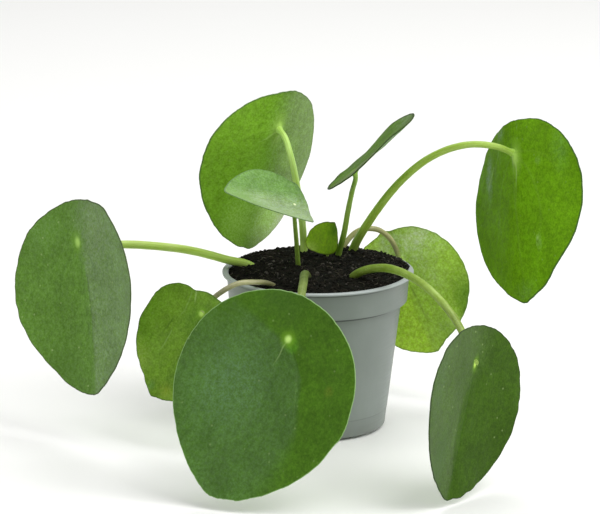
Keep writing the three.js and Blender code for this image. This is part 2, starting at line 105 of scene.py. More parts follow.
TAN_SKIN = ("76774E", "B4B188")
BROWN_SKIN = ("A2A16C", "8F905D")
LEAVES = {
    "far_left": leaf_table(
        node=(-111.5, -18, 93), facing=-42, tilt=6, lean=17, length=91, width=78.5, hold=0.22,
        widest=0.46, point=0.37,
        cup=12, arch=8, vee=6.5, twist=1, ripple=(0.7, 5, 40),
        dents=((-150, 16, 1.6), (35, 14, 1)),
        foot=4, tip=3.8, root=(184, 58),
        route=((-32.5, 6, 75.8), (-42, 3, 79), (-60, 0, 84.5), (-81, -2, 87.5), (-96, -6, 89)),
        # The greyer second half of the upper face is painted sheen.
        above=("5C8332", "6A884F"), below=("66922A", "78A63C"), skin=("B6DB5F", "B6CB69"),
        margin=("3E4A2C", 0.8, 0.8), spot=(2.4, 1.5, "A9D268"), glow=0.3, specks=0.6,
        seam=((-20, 9, 9), (0, 6, 7), (8, 3, 4), (13, 3, 1.2), (30, 4, 0.9), (65, 3, 1.5)),
        marks=((-0.6, 0.45, ((16, 3.5), (23, 4), (40, 4), (50, 4))),
               (-0.3, 0.45, ((50, 4), (69, 3)))),
        tones=((58, -18, 24, 22, 0.9, 0.4, "4A6C2A"), (-10, -20, 18, 16, 0.9, 0.35, "6E9848")),
        blooms=((-6, 12, 22, 20, 0.9, 0.3, "7E9468"),),
        edge=(-3, -1, 1, 6, 11, 17, 14, 13, 5, 0, 0, -1, 4, 4, 3, 3, -2, 1, -6, -4, -6, -6, -4, -3,
              4, 8, 6, 5, 1, 2, 4, 9, 9, 7, 10, 11, 15, 11, 9, 7, 11, 13, 20, 21, 24, 24, 16, 7,
              -2, -6, -9, -7, -2, 6, 20, 16, 8, 5, -2, -2),
    ),
    "low_left": leaf_table(
        node=(-53.5, -45, 66), facing=-28.5, tilt=9, lean=-26, length=56, width=53, hold=0.18,
        widest=0.35, point=0.2,
        cup=3.5, arch=6.5, vee=0, twist=-1, ripple=(1.6, 4, -5),
        dents=((-160, 7, 1.2), (-143, 9, -1), (18, 16, 0.9)),
        foot=2.8, tip=2.4, root=(230, 55.5),
        route=((-22, -26, 74.8), (-29, -36.5, 78.6), (-37.5, -42, 79.2), (-47.5, -41, 72.8)),
        above=("6E932C", "668A2A"), below=("7AA434", "8AB440"), skin=TAN_SKIN,
        margin=("3F5A22", 0.65, 0.8), spot=(1.5, 1.35, "C0E670"), glow=0.4,
        marks=((0.6, 0.45, ((-8, -7), (-4, -6), (-1, -5))),
               (0.35, 0.5, ((-6, -9), (3, -8), (13, -10))),
               (0.35, 0.45, ((15, -9), (24, -9), (31, -11))),
               (-0.5, 0.6, ((9, -11), (13, -11.5), (20, -13), (29, -14))),
               (-0.3, 0.6, ((-4, -10.5), (4, -10), (10, -12))),
               (0.25, 0.4, ((17, -16), (21, -16))), (-0.4, 0.5, ((20, -16), (27, -16)))),
        tones=((38, -20, 16, 12, 0.9, 0.8, "9CBC4C"), (4, -2, 14, 10, 0.9, 0.45, "527C24"),
               (44, 8, 10, 10, 0.9, 0.5, "84A438")),
        blooms=((40, 3, 5, 5, 0.9, 0.4, "8A9A2C"), (43, -5, 4, 3, 0.9, 0.35, "5A8A4A"),
                (30, 6, 12, 6, 0.9, 0.25, "4E7A24")),
        edge=(2, 1, -4, -3, 2, -1, -5, -4, 1, 4, 4, 1, 0, -1, -4, -8, -5, 0, 0, -1, 1, 1, 3, 0, -2,
              -4, 3, 6, 11, 13, 8, 4, 5, 6, 6, 3, 1, *[0] * 19, 1, 2, 3, 1),
    ),
    "front": leaf_table(
        node=(-13.5, -116, 73.5), facing=-21, tilt=12, lean=-18, length=97.5, width=85, hold=0.21,
        widest=0.44, point=0.32,
        cup=9.5, arch=19, vee=5, twist=-1, ripple=(0.8, 5, 10), dents=((-28, 14, 1.2),),
        foot=4.3, tip=3.6, root=(262, 61.5),
        route=((-5.5, -15, 76.2), (-7, -46, 80.5), (-8, -74, 81.5), (-10.5, -100, 77.5)),
        above=("476A2B", "42690F"), below=("66922A", "78A63C"), skin=("4B5D20", "859848"),
        # The pale margin is the edge's own paler colour with a painted highlight on it.
        margin=("9CC07E", 0.65, 0.5), spot=(1.7, 1.5, "C4EA80"), glow=0.5, specks=0.25,
        seam=((-30, -60, 10), (-8, -32, 9), (-1, -10, 6), (3, 2, 2.5), (8, 8, 1.4), (14, 13, 1.4),
              (24, 16, 1.4), (35, 20, 2), (42, 20, 4), (62, 18, 8), (80, 12, 8)),
        marks=((0.4, 0.4, ((1, 0), (4, -1), (8, -1), (13, -2), (17, -3))),
               (-0.45, 0.45, ((4, 4), (8, 8), (14, 13), (24, 16), (35, 20), (44, 20))),
               (0.2, 0.5, ((12, 10), (23, 14), (34, 18.4), (46, 18.4))),
               (-0.3, 0.5, ((24, -6), (44, -5), (74, 1)))),
        tones=((-16, -8, 14, 24, 0.95, 0.75, "3A5E12"),),
        blooms=((-6, -34, 20, 18, 0.9, 0.7, "42690F"), (28, -16, 30, 24, 0.9, 0.3, "668C5C"),
                (13, 28, 3.5, 3, 0.9, 0.35, "7E8A2C"), (2, 3, 5, 4, 0.9, 0.5, "5A9A1C")),
        edge=(*[0] * 18, 1, 2, 3, 5, 8, 13, 21, 25, 25, 21, 16, 11, 3, -4, -6, 0, -2, -2, 1, 0, 3,
              3, 4, 2, -1, -3, 8, 6, 1, *[0] * 13),
    ),
    "back_left": leaf_table(
        node=(-19, 25, 137.5), facing=218.5, tilt=13.5, lean=6, length=81.5, width=69, hold=0.23,
        widest=0.47, point=0.39,
        cup=18, arch=2, vee=8.5, twist=1, ripple=(0.6, 5, 70),
        dents=((40, 18, -1), (-170, 14, -0.7), (-80, 16, 0.5)),
        foot=3.8, tip=2.8, root=(126, 60),
        route=((-6.5, 28, 76.7), (-7.5, 23, 93.5), (-11, 17, 117.8), (-13.3, 16, 128),
               (-15.6, 19, 134.6)),
        # The light foot of the stem's skin is painted light on the shade that the leaves cast there.
        above=("507432", "5C803E"), below=("74924D", "73A22A"), skin=("D0F27C", "BADF74"),
        margin=("465E36", 0.65, 0.8), gloss=0.12, patchy=0.03,
        seam=((-30, 0, 10), (60, 0, 10)),
        marks=((0.35, 0.6, ((0, 0), (5, 6), (9, 12))), (0.35, 0.6, ((0, 0), (7, 1), (14, 2)))),
        # The light tones are painted light that lifts the shade small_left casts on the lower face.
        tones=((52, -16, 26, 18, 0.95, 0.8, "C8DCA8"), (46, -7, 20, 15, 0.95, 0.95, "BCE880"),
               (46, 9, 22, 14, 0.95, 0.8, "9CD054"), (14, -12, 14, 10, 0.95, 0.4, "96C056"),
               (18, 6, 16, 12, 0.95, 0.35, "86BC3C"), (50, 10, 16, 14, 0.9, 0.3, "8CB050")),
        blooms=((0, 0, 12, 9, 0.9, 0.25, "8CB44A"),),
        edge=(2, 2, 1, 0, 1, 5, 6, 9, 6, 4, -1, -6, -11, -10, -5, *[0] * 5, 1, 5, 9, 6, 2, 0, -2,
              -2, 4, 6, 2, -3, 0, 0, 0, 3, 6, 8, 11, 10, 12, 9, 3, 5, 2, 2, 6, 9, 13, 12, 10, 6, 3,
              -1, -3, -4, -2, -2, -1, 0),
    ),
    "small_left": leaf_table(
        node=(-11, -12, 109.5), facing=57.5, tilt=53.5, lean=-117, length=48, width=38, hold=0.17,
        widest=0.47, point=0.4,
        cup=13, arch=0, vee=10, twist=8, ripple=(0.4, 4, 30),
        dents=((138, 12, -1.5), (162, 9, 0.8)),
        foot=2.6, tip=1.9, root=(204, 63),
        route=((-9.3, 3.2, 76.4), (-9.9, -1, 86), (-11.1, -9.5, 103.5)),
        # The pale grey-green upper face is partly a painted reflection of the light above it.
        above=("6B914B", "8EA577"), below=("6C9A34", "82AC48"), skin=("728D2D", "85A647"),
        margin=("4C6A42", 0.55, 0.8), spot=(0.75, 0.7, "E4ECC0"), glow=0.1,
        seam=((0, -3, 6), (40, -4, 6)),
        tones=((34, 2, 16, 16, 0.9, 0.7, "78A052"), (32, 10, 14, 8, 0.9, 0.5, "76984E"),
               (20, 6, 14, 7, 0.9, 0.35, "7C9C62")),
        blooms=((20, 8, 24, 10, 0.9, 0.2, "A8BC98"),),
        edge=(-2, -2, -1, 2, 4, 10, 12, 4, *[0] * 46, 1, 4, 8, 6, 2, -2),
    ),
    "upper_middle": leaf_table(
        node=(16.4, 4, 121.6), facing=-96.5, tilt=48, lean=167, length=56.5, width=44.5, hold=0.25,
        widest=0.38, point=0.18,
        cup=0, arch=6, vee=5.5, twist=0, ripple=(0.7, 3, 180), dents=((-150, 18, 0.8),),
        waves=((101, 22, -2), (60, 22, 1.2), (-20, 15, -1)),
        foot=3.3, tip=2.2, root=(50, 63),
        route=((9.7, 20.5, 76.9), (12.2, 16, 88), (14.2, 12, 100.8), (16, 8, 111),
               (17.6, 4.6, 118.6)),
        above=("5A732C", "577A26"), below=("628C34", "70983E"), skin=("8AAC40", "92B650"),
        margin=("2C3A26", 0.75, 1.8), gloss=0.06,
        marks=((0.3, 0.7, ((-8, 6), (10, 9), (30, 6))),
               (-0.4, 0.7, ((-6, 12), (12, 15), (28, 11))),
               (-0.3, 0.7, ((-4, 2), (14, 3), (30, 1))),
               (0.3, 0.7, ((4, -8), (20, -9), (36, -4)))),
        blooms=((38, 12, 16, 14, 0.9, 0.5, "8CA478"),),
        edge=(4, 4, 4, 1.5, 0, -2, -5, *[0] * 17, 3, 9, 15, 16, 11, 4, -1, -2, -1, 0, 1, 3, 3,
              *[0] * 18, 4, 8, 9, 7, 5),
        lift=(16, 12, 8, 5, 2, 0, -1, 2, 2, 2, 3, 4, 3, 3, 3, 1, *[0] * 8, -3, -4, -3, -2, -1, -1,
              1, 2, 4, 5, 5, 5, 6, 6, 4, 2, 1, 1, *[0] * 11, 2, 7, 12, 13, 13, 15, 16),
    ),
    "upper_right": leaf_table(
        node=(91, -8, 133), facing=121, tilt=-14, lean=-25, length=86.5, width=81.5, hold=0.19,
        widest=0.46, point=0.43,
        cup=3.5, arch=5, vee=8.5, twist=-1, ripple=(0.7, 5, 130),
        dents=((38, 14, 1.2), (-46, 12, 1)),
        foot=4.6, tip=2.9, root=(36, 56), joint=(2.5, -1.5),
        route=((16.5, 30, 76.3), (22, 22, 89.5), (38, 7, 115.4), (53.8, -6, 131.5),
               (69, -13, 138.2), (81.5, -13.5, 137.6)),
        above=("4A701E", "587E2E"), below=("689A10", "64930C"), skin=("A9CC4F", "9DBB50"),
        margin=("36502A", 0.8, 0.8), gloss=0.05,
        seam=((-30, 0, 9), (60, 0, 9)),
        marks=((0.6, 0.5, ((2, -1.5), (6, -2), (14, -1), (24, 0))),
               (0.35, 0.5, ((-14, -3), (-9, -3))), (0.45, 0.6, ((2, 19), (10, 24), (16, 27))),
               (0.3, 0.6, ((-6, 13), (2, 17), (12, 20))), (0.3, 0.5, ((6, 9), (14, 11))),
               (0.35, 0.45, ((40, -14), (45, -11), (50, -12))),
               (0.3, 0.45, ((40, -10), (45, -14), (50, -13)))),
        blooms=((6, 24, 16, 4.5, 0.8, 0.5, "84A07C"), (-13, 11, 6, 5, 0.8, 0.4, "84A07C"),
                (7, -16, 3, 3, 0.8, 0.2, "86AC5C"), (45, -13, 6, 2.5, 0.8, 0.25, "86AC5C"),
                (4, -30, 16, 8, 0.9, 0.2, "6E9A58"), (66, 0, 8, 12, 0.9, 0.25, "67884A")),
        edge=(-10, -10, -9, -5, -2, -2, -3, -2, 2, 6, 9, 9, 12, 7, 5, 0, -1, 2, 3, 10, 15, 19, 19,
              19, 19, 16, 11, 1, 2, 2, 9, 11, 6, 3, 7, 14, 16, 19, 20, 21, 19, 19, 14, 4, -2, -9,
              -11, -11, -17, -12, -2, 1, 6, 14, 11, 6, -1, -7, -8, -10),
    ),
    "back_right": leaf_table(
        node=(39.5, 46, 68.5), facing=153.5, tilt=-6, lean=-25, length=62, width=62.5, hold=0.24,
        widest=0.48, point=0.28,
        cup=2, arch=2, vee=0.5, twist=0, ripple=(0.6, 5, 60),
        dents=((-20, 12, 2.2), (42, 15, 1.5)),
        foot=2.8, tip=2.5, root=(84, 56.5),
        route=((11.2, 33, 76.3), (19.3, 38.5, 84.3), (28, 41, 84.6), (34.2, 42, 80.4),
               (38, 43.6, 73.5)),
        # The bright lower face is partly painted light, for light shining through the blade.
        above=("64902E", "749E3C"), below=("A8D24C", "B6E246"), skin=BROWN_SKIN,
        margin=("546C3A", 0.65, 0.8), patchy=0.04, net=0.08,
        marks=((-0.4, 0.6, ((10, 0), (21, -2), (35, -3), (48, -2))),
               (-0.4, 0.45, ((6, -2), (16, -8), (26, -13), (34, -20))),
               (-0.3, 0.45, ((2, -4), (8, -12), (14, -22))),
               (-0.25, 0.45, ((16, -8), (14, -16), (20, -24))),
               (-0.25, 0.45, ((22, -1), (32, 6), (40, 14)))),
        tones=((32, -27, 24, 13, 0.9, 0.85, "5C8820"), (40, -12, 14, 9, 0.9, 0.4, "709C24"),
               (-4, 8, 12, 14, 0.9, 0.4, "CCE88C")),
        blooms=((-7, -11, 6, 10, 0.8, 0.8, "D4E6B4"), (-10, 2, 6, 11, 0.8, 0.35, "C0D8A4"),
                (-4, -8, 14, 30, 0.9, 0.55, "BCD694"), (38, -12, 9, 12, 0.9, 0.15, "B4CC88"),
                (12, -12, 14, 12, 0.9, 0.25, "BCD690")),
        edge=(-5, -4, -1, 1, 3, 0, -2, -4, -2, -5, -2, -1, -1, -1, 0, -1, 1, 1, 3, 2, 5, 5, 6, 7,
              5, 7, 12, 18, 17, 15, 8, 5, 3, 3, 5, 10, 17, 15, 4, *[0] * 14, 1, 4, 8, 2, -2, 2, 7),
    ),
    "low_right": leaf_table(
        node=(69, -112, 61), facing=49.5, tilt=-1.5, lean=-19.5, length=79.5, width=68.5,
        hold=0.225, widest=0.44, point=0.23,
        cup=2, arch=6, vee=7.5, twist=-3, ripple=(0.7, 5, 20), dents=((-38, 13, 1),),
        foot=4.2, tip=3.3, root=(308, 56.5),
        route=((17.2, -14.5, 76.2), (30, -28, 83.2), (43.5, -48, 83.5), (55, -70, 78.8),
               (63.5, -92, 71.2)),
        above=("465E2C", "36530E"), below=("66922A", "78A63C"), skin=("759128", "A2BE5A"),
        margin=("2E3A28", 0.65, 0.8), spot=(1.8, 0.85, "B8DA62"), glow=0.3, specks=0.35, gloss=0.1,
        seam=((-20, 4, 10), (0, 2, 9), (10, -3, 6), (14, -4, 3), (24, -4, 1.6), (35, -4, 1.4),
              (48, -1, 1.2), (61, -2, 1.5)),
        marks=((-0.4, 0.6, ((20, -4), (24, -4), (35, -4), (48, -1), (57, -1))),),
        tones=((46, -16, 26, 12, 0.9, 0.45, "3C5A26"),),
        blooms=((12, -9, 26, 8, 0.9, 0.45, "3C5424"), (12, -28, 26, 8, 0.9, 0.25, "56704A")),
        edge=(-3, -7, -6, -8, -5, 0, 4, 8, 14, 16, 7, 2, -3, -11, -10, -10, -8, -4, 4, 10, 17, 18,
              19, 19, 16, 1, -5, -7, -2, 4, 0, -8, -7, -5, -8, 0, 1, 5, 11, 11, 11, 8, 2, 0, -7,
              -4, -6, 1, 6, 6, 13, 11, 13, 8, 2, 1, -3, -1, 1, -1),
    ),
    "newest": leaf_table(
        node=(3.9, 17, 82), facing=-36, tilt=15, lean=182, length=15.5, width=21.5, hold=0.24,
        widest=0.4, point=0.05,
        cup=3.5, arch=0, vee=21.5, twist=-3, ripple=(0.6, 3, 0), dents=((-38, 20, -0.8),),
        foot=1.8, tip=1.5, root=(92, 64.5),
        route=((4.4, 19.6, 76.6), (4.9, 19.2, 79.5)),
        above=("7FA81E", "88B414"), below=("84AC2C", "94BA3C"), skin=("8AA83C", "9AB850"),
        margin=("4A4A1C", 0.6, 0.8), spot=(0.3, 0.3, "8AB828"), glow=0,
        tones=((9, -6, 7, 6, 0.9, 0.7, "48741C"), (-2, 8, 5, 6, 0.9, 0.6, "A4C05C")),
        edge=(*[0] * 24, 2, 6, 8, 5, 3, 1, *[0] * 8, 1, 1, 1, *[0] * 5, 1, 2, 4, 6, 8, 8, 6, 4, 2,
              *[0] * 5),
    ),
}

# A blade that faces further than this from the front shows its lower side. A blade shorter than
# this, in millimetres, gets half the points.
SEEN_FROM_BELOW = 100
SMALL_LEAF = 30

# Pot, soil and rootstock, as in the solids

POT = Table(
    height=75, lip_radius=45, lip_inner=42.6, lip_thickness=1.4, band_top=42.8, band_foot=42,
    band_height=13.7, wall_top=39.2, wall_foot=31.6, wall=0.8, floor_under=1.1, floor=1.1, pad=6,
    feet=6, foot_inner=25, foot_outer=28.8, foot_span=20, foot_first=-48.5, drain_radius=2.6,
    drain_circle=19, ring_height=9.5)
SOIL = Table(rim=73.9, mound=2.6, flatness=6, lean=1.9, clearance=0.35, rings=58, spokes=200)
ROOT = Table(x=1, y=9, top=66, shoulder=5.4, belly=51, waist=6, foot=44, tail=3.4)

BAND_BOTTOM = POT.height - POT.band_height
LEDGE = BAND_BOTTOM + 0.6
FLOOR_TOP = POT.floor_under + POT.floor
DRAFT = (POT.wall_top - POT.wall_foot) / (BAND_BOTTOM - POT.floor_under)
SOIL_EDGE = POT.band_top - POT.wall - SOIL.clearance

# A stem's straight run out of the rootstock, the gap left where it touches another piece, half
# of a solid blade's thickness, and how far the blades keep inside the solids' box
BURIED_RUN = 4
TOUCH_GAP = 0.3
HALF_BLADE = 0.5
BOX_INSET = 0.02


# Helpers


def linear(code):
    """An sRGB hex colour as the linear colour that Blender's sockets hold."""
    parts = [int(code[i:i + 2], 16) / 255 for i in (0, 2, 4)]
    return tuple(c / 12.92 if c <= 0.04045 else ((c + 0.055) / 1.055) ** 2.4 for c in parts)


class Nodes:
    """A node tree, with short ways to add the nodes that are used most."""

    def __init__(self, tree):
        self.tree = tree

    def add(self, kind, inputs=None, **settings):
        """Adds a node with its settings. An input is a value, a hex or linear colour, a socket,
        or a node, whose first open output is then linked."""
        node = self.tree.nodes.new(kind)
        for key, value in settings.items():
            setattr(node, key, value)
        for key, value in (inputs or {}).items():
            socket = node.inputs[key]
            if isinstance(value, bpy.types.Node):
                value = next(output for output in value.outputs if output.enabled)
            if isinstance(value, bpy.types.NodeSocket):
                self.tree.links.new(value, socket)
            elif socket.type == "RGBA":
                socket.default_value = (*(linear(value) if isinstance(value, str) else value), 1)
            else:
                socket.default_value = value
        return node

    def math(self, operation, *values, clamp=False):
        return self.add("ShaderNodeMath", dict(enumerate(values)), operation=operation,
                        use_clamp=clamp)

    def vector(self, operation, *values):
        return self.add("ShaderNodeVectorMath", dict(enumerate(values)), operation=operation)

    def scale(self, vector, factor):
        """The vector or colour times a factor."""
        return self.add("ShaderNodeVectorMath", {0: vector, "Scale": factor}, operation="SCALE")

    def ramp(self, value, start, end, low=0, high=1, kind="LINEAR"):
        """Runs from low to high as the value goes from start to end."""
        return self.add("ShaderNodeMapRange", {0: value, 1: start, 2: end, 3: low, 4: high},
                        interpolation_type=kind)

    def ease(self, value, start, end, low=0, high=1):
        """The same with soft ends."""
        return self.ramp(value, start, end, low, high, "SMOOTHSTEP")

    def mix(self, share, below, above):
        """The first colour where share is 0, the second where it is 1."""
        return self.add("ShaderNodeMix", {0: share, 6: below, 7: above}, data_type="RGBA")

    def noise(self, place, scale, detail=2, roughness=0.5):
        return self.add("ShaderNodeTexNoise", {
            "Vector": place, "Scale": scale, "Detail": detail, "Roughness": roughness})

    def cells(self, place, scale, **settings):
        return self.add("ShaderNodeTexVoronoi", {"Vector": place, "Scale": scale}, **settings)

    def place(self, stretch=(1, 1, 1)):
        """The point's place in the frame, in millimetres, with each axis stretched."""
        place = self.add("ShaderNodeTexCoord").outputs["Object"]
        return self.vector("MULTIPLY", place, tuple(share / MM for share in stretch))

    def height(self):
        """The point's height in the frame, in millimetres."""
        return self.add("ShaderNodeSeparateXYZ", {0: self.place()}).outputs["Z"]

    def field(self, name, output="Fac"):
        """A named attribute of the points."""
        return self.add("ShaderNodeAttribute", attribute_name=name).outputs[output]

    def tint(self, color, spread, reach):
        """The colour, with each channel raised or lowered by its reach as spread runs from -1
        to 1."""
        shares = self.vector("MULTIPLY_ADD", spread, reach, (1, 1, 1))
        return self.vector("MULTIPLY", color, shares)

    def bump(self, height, strength, depth, over=None):
        """A bumpy normal, its depth in millimetres, on top of another one."""
        inputs = {"Height": height, "Strength": strength, "Distance": depth * MM}
        return self.add("ShaderNodeBump", inputs if over is None else {**inputs, "Normal": over})

    def surface(self, color, roughness, normal, **values):
        """Ends the tree with a surface, whose other values are named by socket."""
        others = {key.replace("_", " "): value for key, value in values.items()}
        shader = self.add("ShaderNodeBsdfPrincipled", {
            "Base Color": color, "Roughness": roughness, "Normal": normal, **others})
        self.add("ShaderNodeOutputMaterial", {"Surface": shader})

    def store(self, geometry, name, value, kind="FLOAT", domain="POINT"):
        """Writes the value to each point, or each instance, as a named attribute."""
        return self.add("GeometryNodeStoreNamedAttribute", {
            "Geometry": geometry, "Name": name, "Value": value}, data_type=kind, domain=domain)

    def draw(self, low, high, seed):
        """A random value, or a random vector, for each point."""
        kind, first = ("FLOAT", 2) if isinstance(low, float) else ("FLOAT_VECTOR", 0)
        return self.add("FunctionNodeRandomValue", {first: low, first + 1: high, "Seed": seed},
                        data_type=kind)

    def push(self, geometry, waves, reach):
        """Moves the points out and in by the waves, which run from 0 to 1."""
        amount = self.math("MULTIPLY", self.math("SUBTRACT", waves, 0.5), reach)
        offset = self.scale(self.add("GeometryNodeInputNormal"), amount)
        return self.add("GeometryNodeSetPosition", {"Geometry": geometry, "Offset": offset})

    def scatter(self, given, shape, spin, scale, tone, seed):
        """Puts the shape on random points of a surface, each with its own turn and tone."""
        points = self.add("GeometryNodeDistributePointsOnFaces", {
            "Mesh": given["Geometry"], "Density": given["Per area"], "Seed": given["Seed"]})
        placed = self.add("GeometryNodeInstanceOnPoints", {
            "Points": points, "Instance": shape, "Rotation": self.draw(*spin, given["Seed"]),
            "Scale": scale})
        toned = self.store(placed, "tone", self.draw(*tone, seed), domain="INSTANCE")
        return self.add("GeometryNodeRealizeInstances", {"Geometry": toned})

    def finish(self, geometry, given):
        """Ends the tree with plain mesh in the given material."""
        whole = self.add("GeometryNodeRealizeInstances", {"Geometry": geometry})
        done = self.add("GeometryNodeSetMaterial", {
            "Geometry": whole, "Material": given["Material"]})
        self.add("NodeGroupOutput", {"Geometry": done})


def new_material(name):
    """An empty node material, and its nodes."""
    material = bpy.data.materials.new(name)
    material.use_nodes = True
    material.node_tree.nodes.clear()
    return material, Nodes(material.node_tree)


def new_geometry_tree(name, sizes, counts):
    """A geometry tree, its nodes and its inputs: the named ones, a seed and a material."""
    tree = bpy.data.node_groups.new(name, "GeometryNodeTree")
    tree.is_modifier = True
    inputs = {"Geometry": "Geometry", **dict.fromkeys(sizes, "Float"),
              **dict.fromkeys((*counts, "Seed"), "Int"), "Material": "Material"}
    for label, kind in inputs.items():
        tree.interface.new_socket(label, in_out="INPUT", socket_type=f"NodeSocket{kind}")
    tree.interface.new_socket("Geometry", in_out="OUTPUT", socket_type="NodeSocketGeometry")
    return tree, Nodes(tree), tree.nodes.new("NodeGroupInput").outputs


def grow(thing, tree, values):
    """Runs a geometry tree on the object with the named input values, and keeps the result."""
    modifier = thing.modifiers.new(tree.name, "NODES")
    modifier.node_group = tree
    for item in tree.interface.items_tree:
        if item.in_out == "INPUT" and item.name in values:
            modifier[item.identifier] = values[item.name]
    keep(thing)


def keep(thing):
    """Turns the object's modifiers into plain mesh."""
    depsgraph = bpy.context.evaluated_depsgraph_get()
    mesh = bpy.data.meshes.new_from_object(thing.evaluated_get(depsgraph))
    old = thing.data
    thing.modifiers.clear()
    thing.data = mesh
    bpy.data.meshes.remove(old)
    mesh.name = thing.name


def mesh_object(name, vertices, faces, material=None, smooth=True, edges=()):
    """A mesh from points in millimetres, placed in the frame."""
    mesh = bpy.data.meshes.new(name)
    mesh.from_pydata((np.asarray(vertices, float) * MM).tolist(), edges, faces)
    mesh.validate()
    if smooth:
        mesh.shade_smooth()
    thing = bpy.data.objects.new(name, mesh)
    bpy.context.scene.collection.objects.link(thing)
    if material:
        mesh.materials.append(material)
    return thing


def settle(thing, body_slot, *nodes):
    """Hangs the piece on the frame's root and hides the solids that it stands for.
    body_slot, what it is made of, is not used.
    """
    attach(thing, "root")
    if nodes:
        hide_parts(*nodes)


def smoothstep(low, high, value):
    """0 at low and 1 at high, with soft ends between."""
    share = np.clip((value - low) / (high - low), 0, 1)
    return share * share * (3 - 2 * share)


def rough(points, wavelength, seed):
    """Smooth random values from -1 to 1 at points in millimetres."""
    shift = Vector((seed * 17.3, seed * 5.1, seed * 9.7))
    return np.array([noise.noise(Vector(p) / wavelength + shift) for p in points])


def around(count):
    """Equal turns all the way round."""
    return np.linspace(0, 2 * math.pi, count, endpoint=False)


def ring_points(radius, height, turns, x=0, y=0):
    """Points at one height about x, y, one for each turn."""
    return [(x + radius * math.cos(t), y + radius * math.sin(t), height) for t in turns]


def ring_faces(first, second, count):
    """Faces between two rings of points, which start at those numbers."""
    return [(first + k, second + k, second + (k + 1) % count, first + (k + 1) % count)
            for k in range(count)]


def size_property(name, text, millimetres):
    return bpy.props.FloatProperty(
        name=name, description=text, unit="LENGTH", default=millimetres * MM)


def count_property(name, text, default, least=1):
    return bpy.props.IntProperty(name=name, description=text, default=default, min=least)


def value_property(name, text, default, **settings):
    return bpy.props.FloatProperty(name=name, description=text, default=default, **settings)


def color_property(name, text, code):
    return bpy.props.FloatVectorProperty(
        name=name, description=text, subtype="COLOR", default=linear(code))


# Pot


def wall_radius(height):
    """The outer radius of the pot's tapered wall."""
    return POT.wall_foot + DRAFT * (height - POT.floor_under)


def pot_profile():
    """The pot's section, from the middle of its underside round to the middle of its floor."""
    p, under, ring, outer = POT, POT.floor_under, POT.ring_height, wall_radius
    under_lip = p.height - p.lip_thickness
    lip = [(p.lip_radius - 0.55 + 0.55 * math.cos(t), p.height - 0.6 + 0.6 * math.sin(t))
           for t in np.radians((0, 22, 45, 68, 90))]
    return [
        (0, 0), (p.pad, 0), (p.pad + 0.5, under), (p.wall_foot - 1.2, under),
        (p.wall_foot - 0.55, under + 0.06), (p.wall_foot - 0.15, under + 0.25),
        (outer(under + 0.7), under + 0.7), (outer(ring - 0.5), ring - 0.5),
        (outer(ring - 0.15) + 0.06, ring - 0.15), (outer(ring + 0.15) + 0.12, ring + 0.15),
        (outer(ring + 0.5) + 0.12, ring + 0.5), (outer(30) + 0.1, 30),
        (outer(BAND_BOTTOM - 2) + 0.04, BAND_BOTTOM - 2),
        (outer(BAND_BOTTOM - 0.2), BAND_BOTTOM - 0.2), (p.wall_top + 0.15, BAND_BOTTOM + 0.12),
        (p.band_foot - 0.5, BAND_BOTTOM), (p.band_foot - 0.12, BAND_BOTTOM + 0.1),
        (p.band_foot, BAND_BOTTOM + 0.45), (p.band_foot + 0.08, BAND_BOTTOM + 1.5),
        (p.band_top, under_lip - 0.5), (p.band_top + 0.35, under_lip - 0.1),
        (p.lip_radius - 0.5, under_lip), (p.lip_radius - 0.1, under_lip + 0.2), *lip,
        (p.lip_inner + 0.25, p.height), (p.lip_inner - 0.15, p.height - 0.12),
        (p.lip_inner - 0.5, p.height - 0.6), (p.band_top - p.wall, p.height - 1.4),
        (p.band_foot - p.wall, LEDGE), (outer(BAND_BOTTOM) - p.wall, LEDGE - 0.4),
        (outer(FLOOR_TOP + 0.8) - p.wall, FLOOR_TOP + 0.8),
        (outer(FLOOR_TOP) - p.wall - 0.8, FLOOR_TOP), (0, FLOOR_TOP),
    ]


def lathe(profile, sides):
    """Points and faces of the profile turned about the vertical axis, open ends on the axis."""
    rings = profile[1:-1]
    points = [(0, 0, profile[0][1])]
    for radius, height in rings:
        points += ring_points(radius, height, around(sides))
    points.append((0, 0, profile[-1][1]))
    last = len(points) - 1
    faces = []
    for k in range(sides):
        after = (k + 1) % sides
        faces.append((0, 1 + after, 1 + k))
        for a in range(1, last - sides, sides):
            faces.append((a + k, a + after, a + sides + after, a + sides + k))
        faces.append((last - sides + k, last - sides + after, last))
    return points, faces


def ring_sector(inner, outer, low, high, middle, span, steps=8):
    """A solid piece of a ring, its turn in degrees."""
    points = []
    for t in np.radians(np.linspace(middle - span / 2, middle + span / 2, steps + 1)):
        for radius, height in ((inner, low), (outer, low), (outer, high), (inner, high)):
            points += ring_points(radius, height, [t])
    end = steps * 4
    faces = [(0, 3, 2, 1)]
    for a in range(0, end, 4):
        faces += [(a + j, a + (j + 1) % 4, a + 4 + (j + 1) % 4, a + 4 + j) for j in range(4)]
    faces.append((end, end + 1, end + 2, end + 3))
    return points, faces


def upright_bar(x, y, radius, low, high, sides=20):
    """A round bar standing at x, y."""
    turns = around(sides)
    points = ring_points(radius, low, turns, x, y) + ring_points(radius, high, turns, x, y)
    faces = [tuple(range(sides))[::-1], tuple(range(sides, 2 * sides))]
    faces += [(k, (k + 1) % sides, (k + 1) % sides + sides, k + sides) for k in range(sides)]
    return points, faces


def carve(thing, name, parts, operation):
    """Joins the closed parts to the object, or cuts them out."""
    points, faces = [], []
    for part_points, part_faces in parts:
        faces += [tuple(len(points) + i for i in face) for face in part_faces]
        points += part_points
    tool = mesh_object(name, points, faces, smooth=False)
    modifier = thing.modifiers.new(operation, "BOOLEAN")
    modifier.operation = operation
    modifier.solver = "EXACT"
    modifier.object = tool
    keep(thing)
    bpy.data.objects.remove(tool)


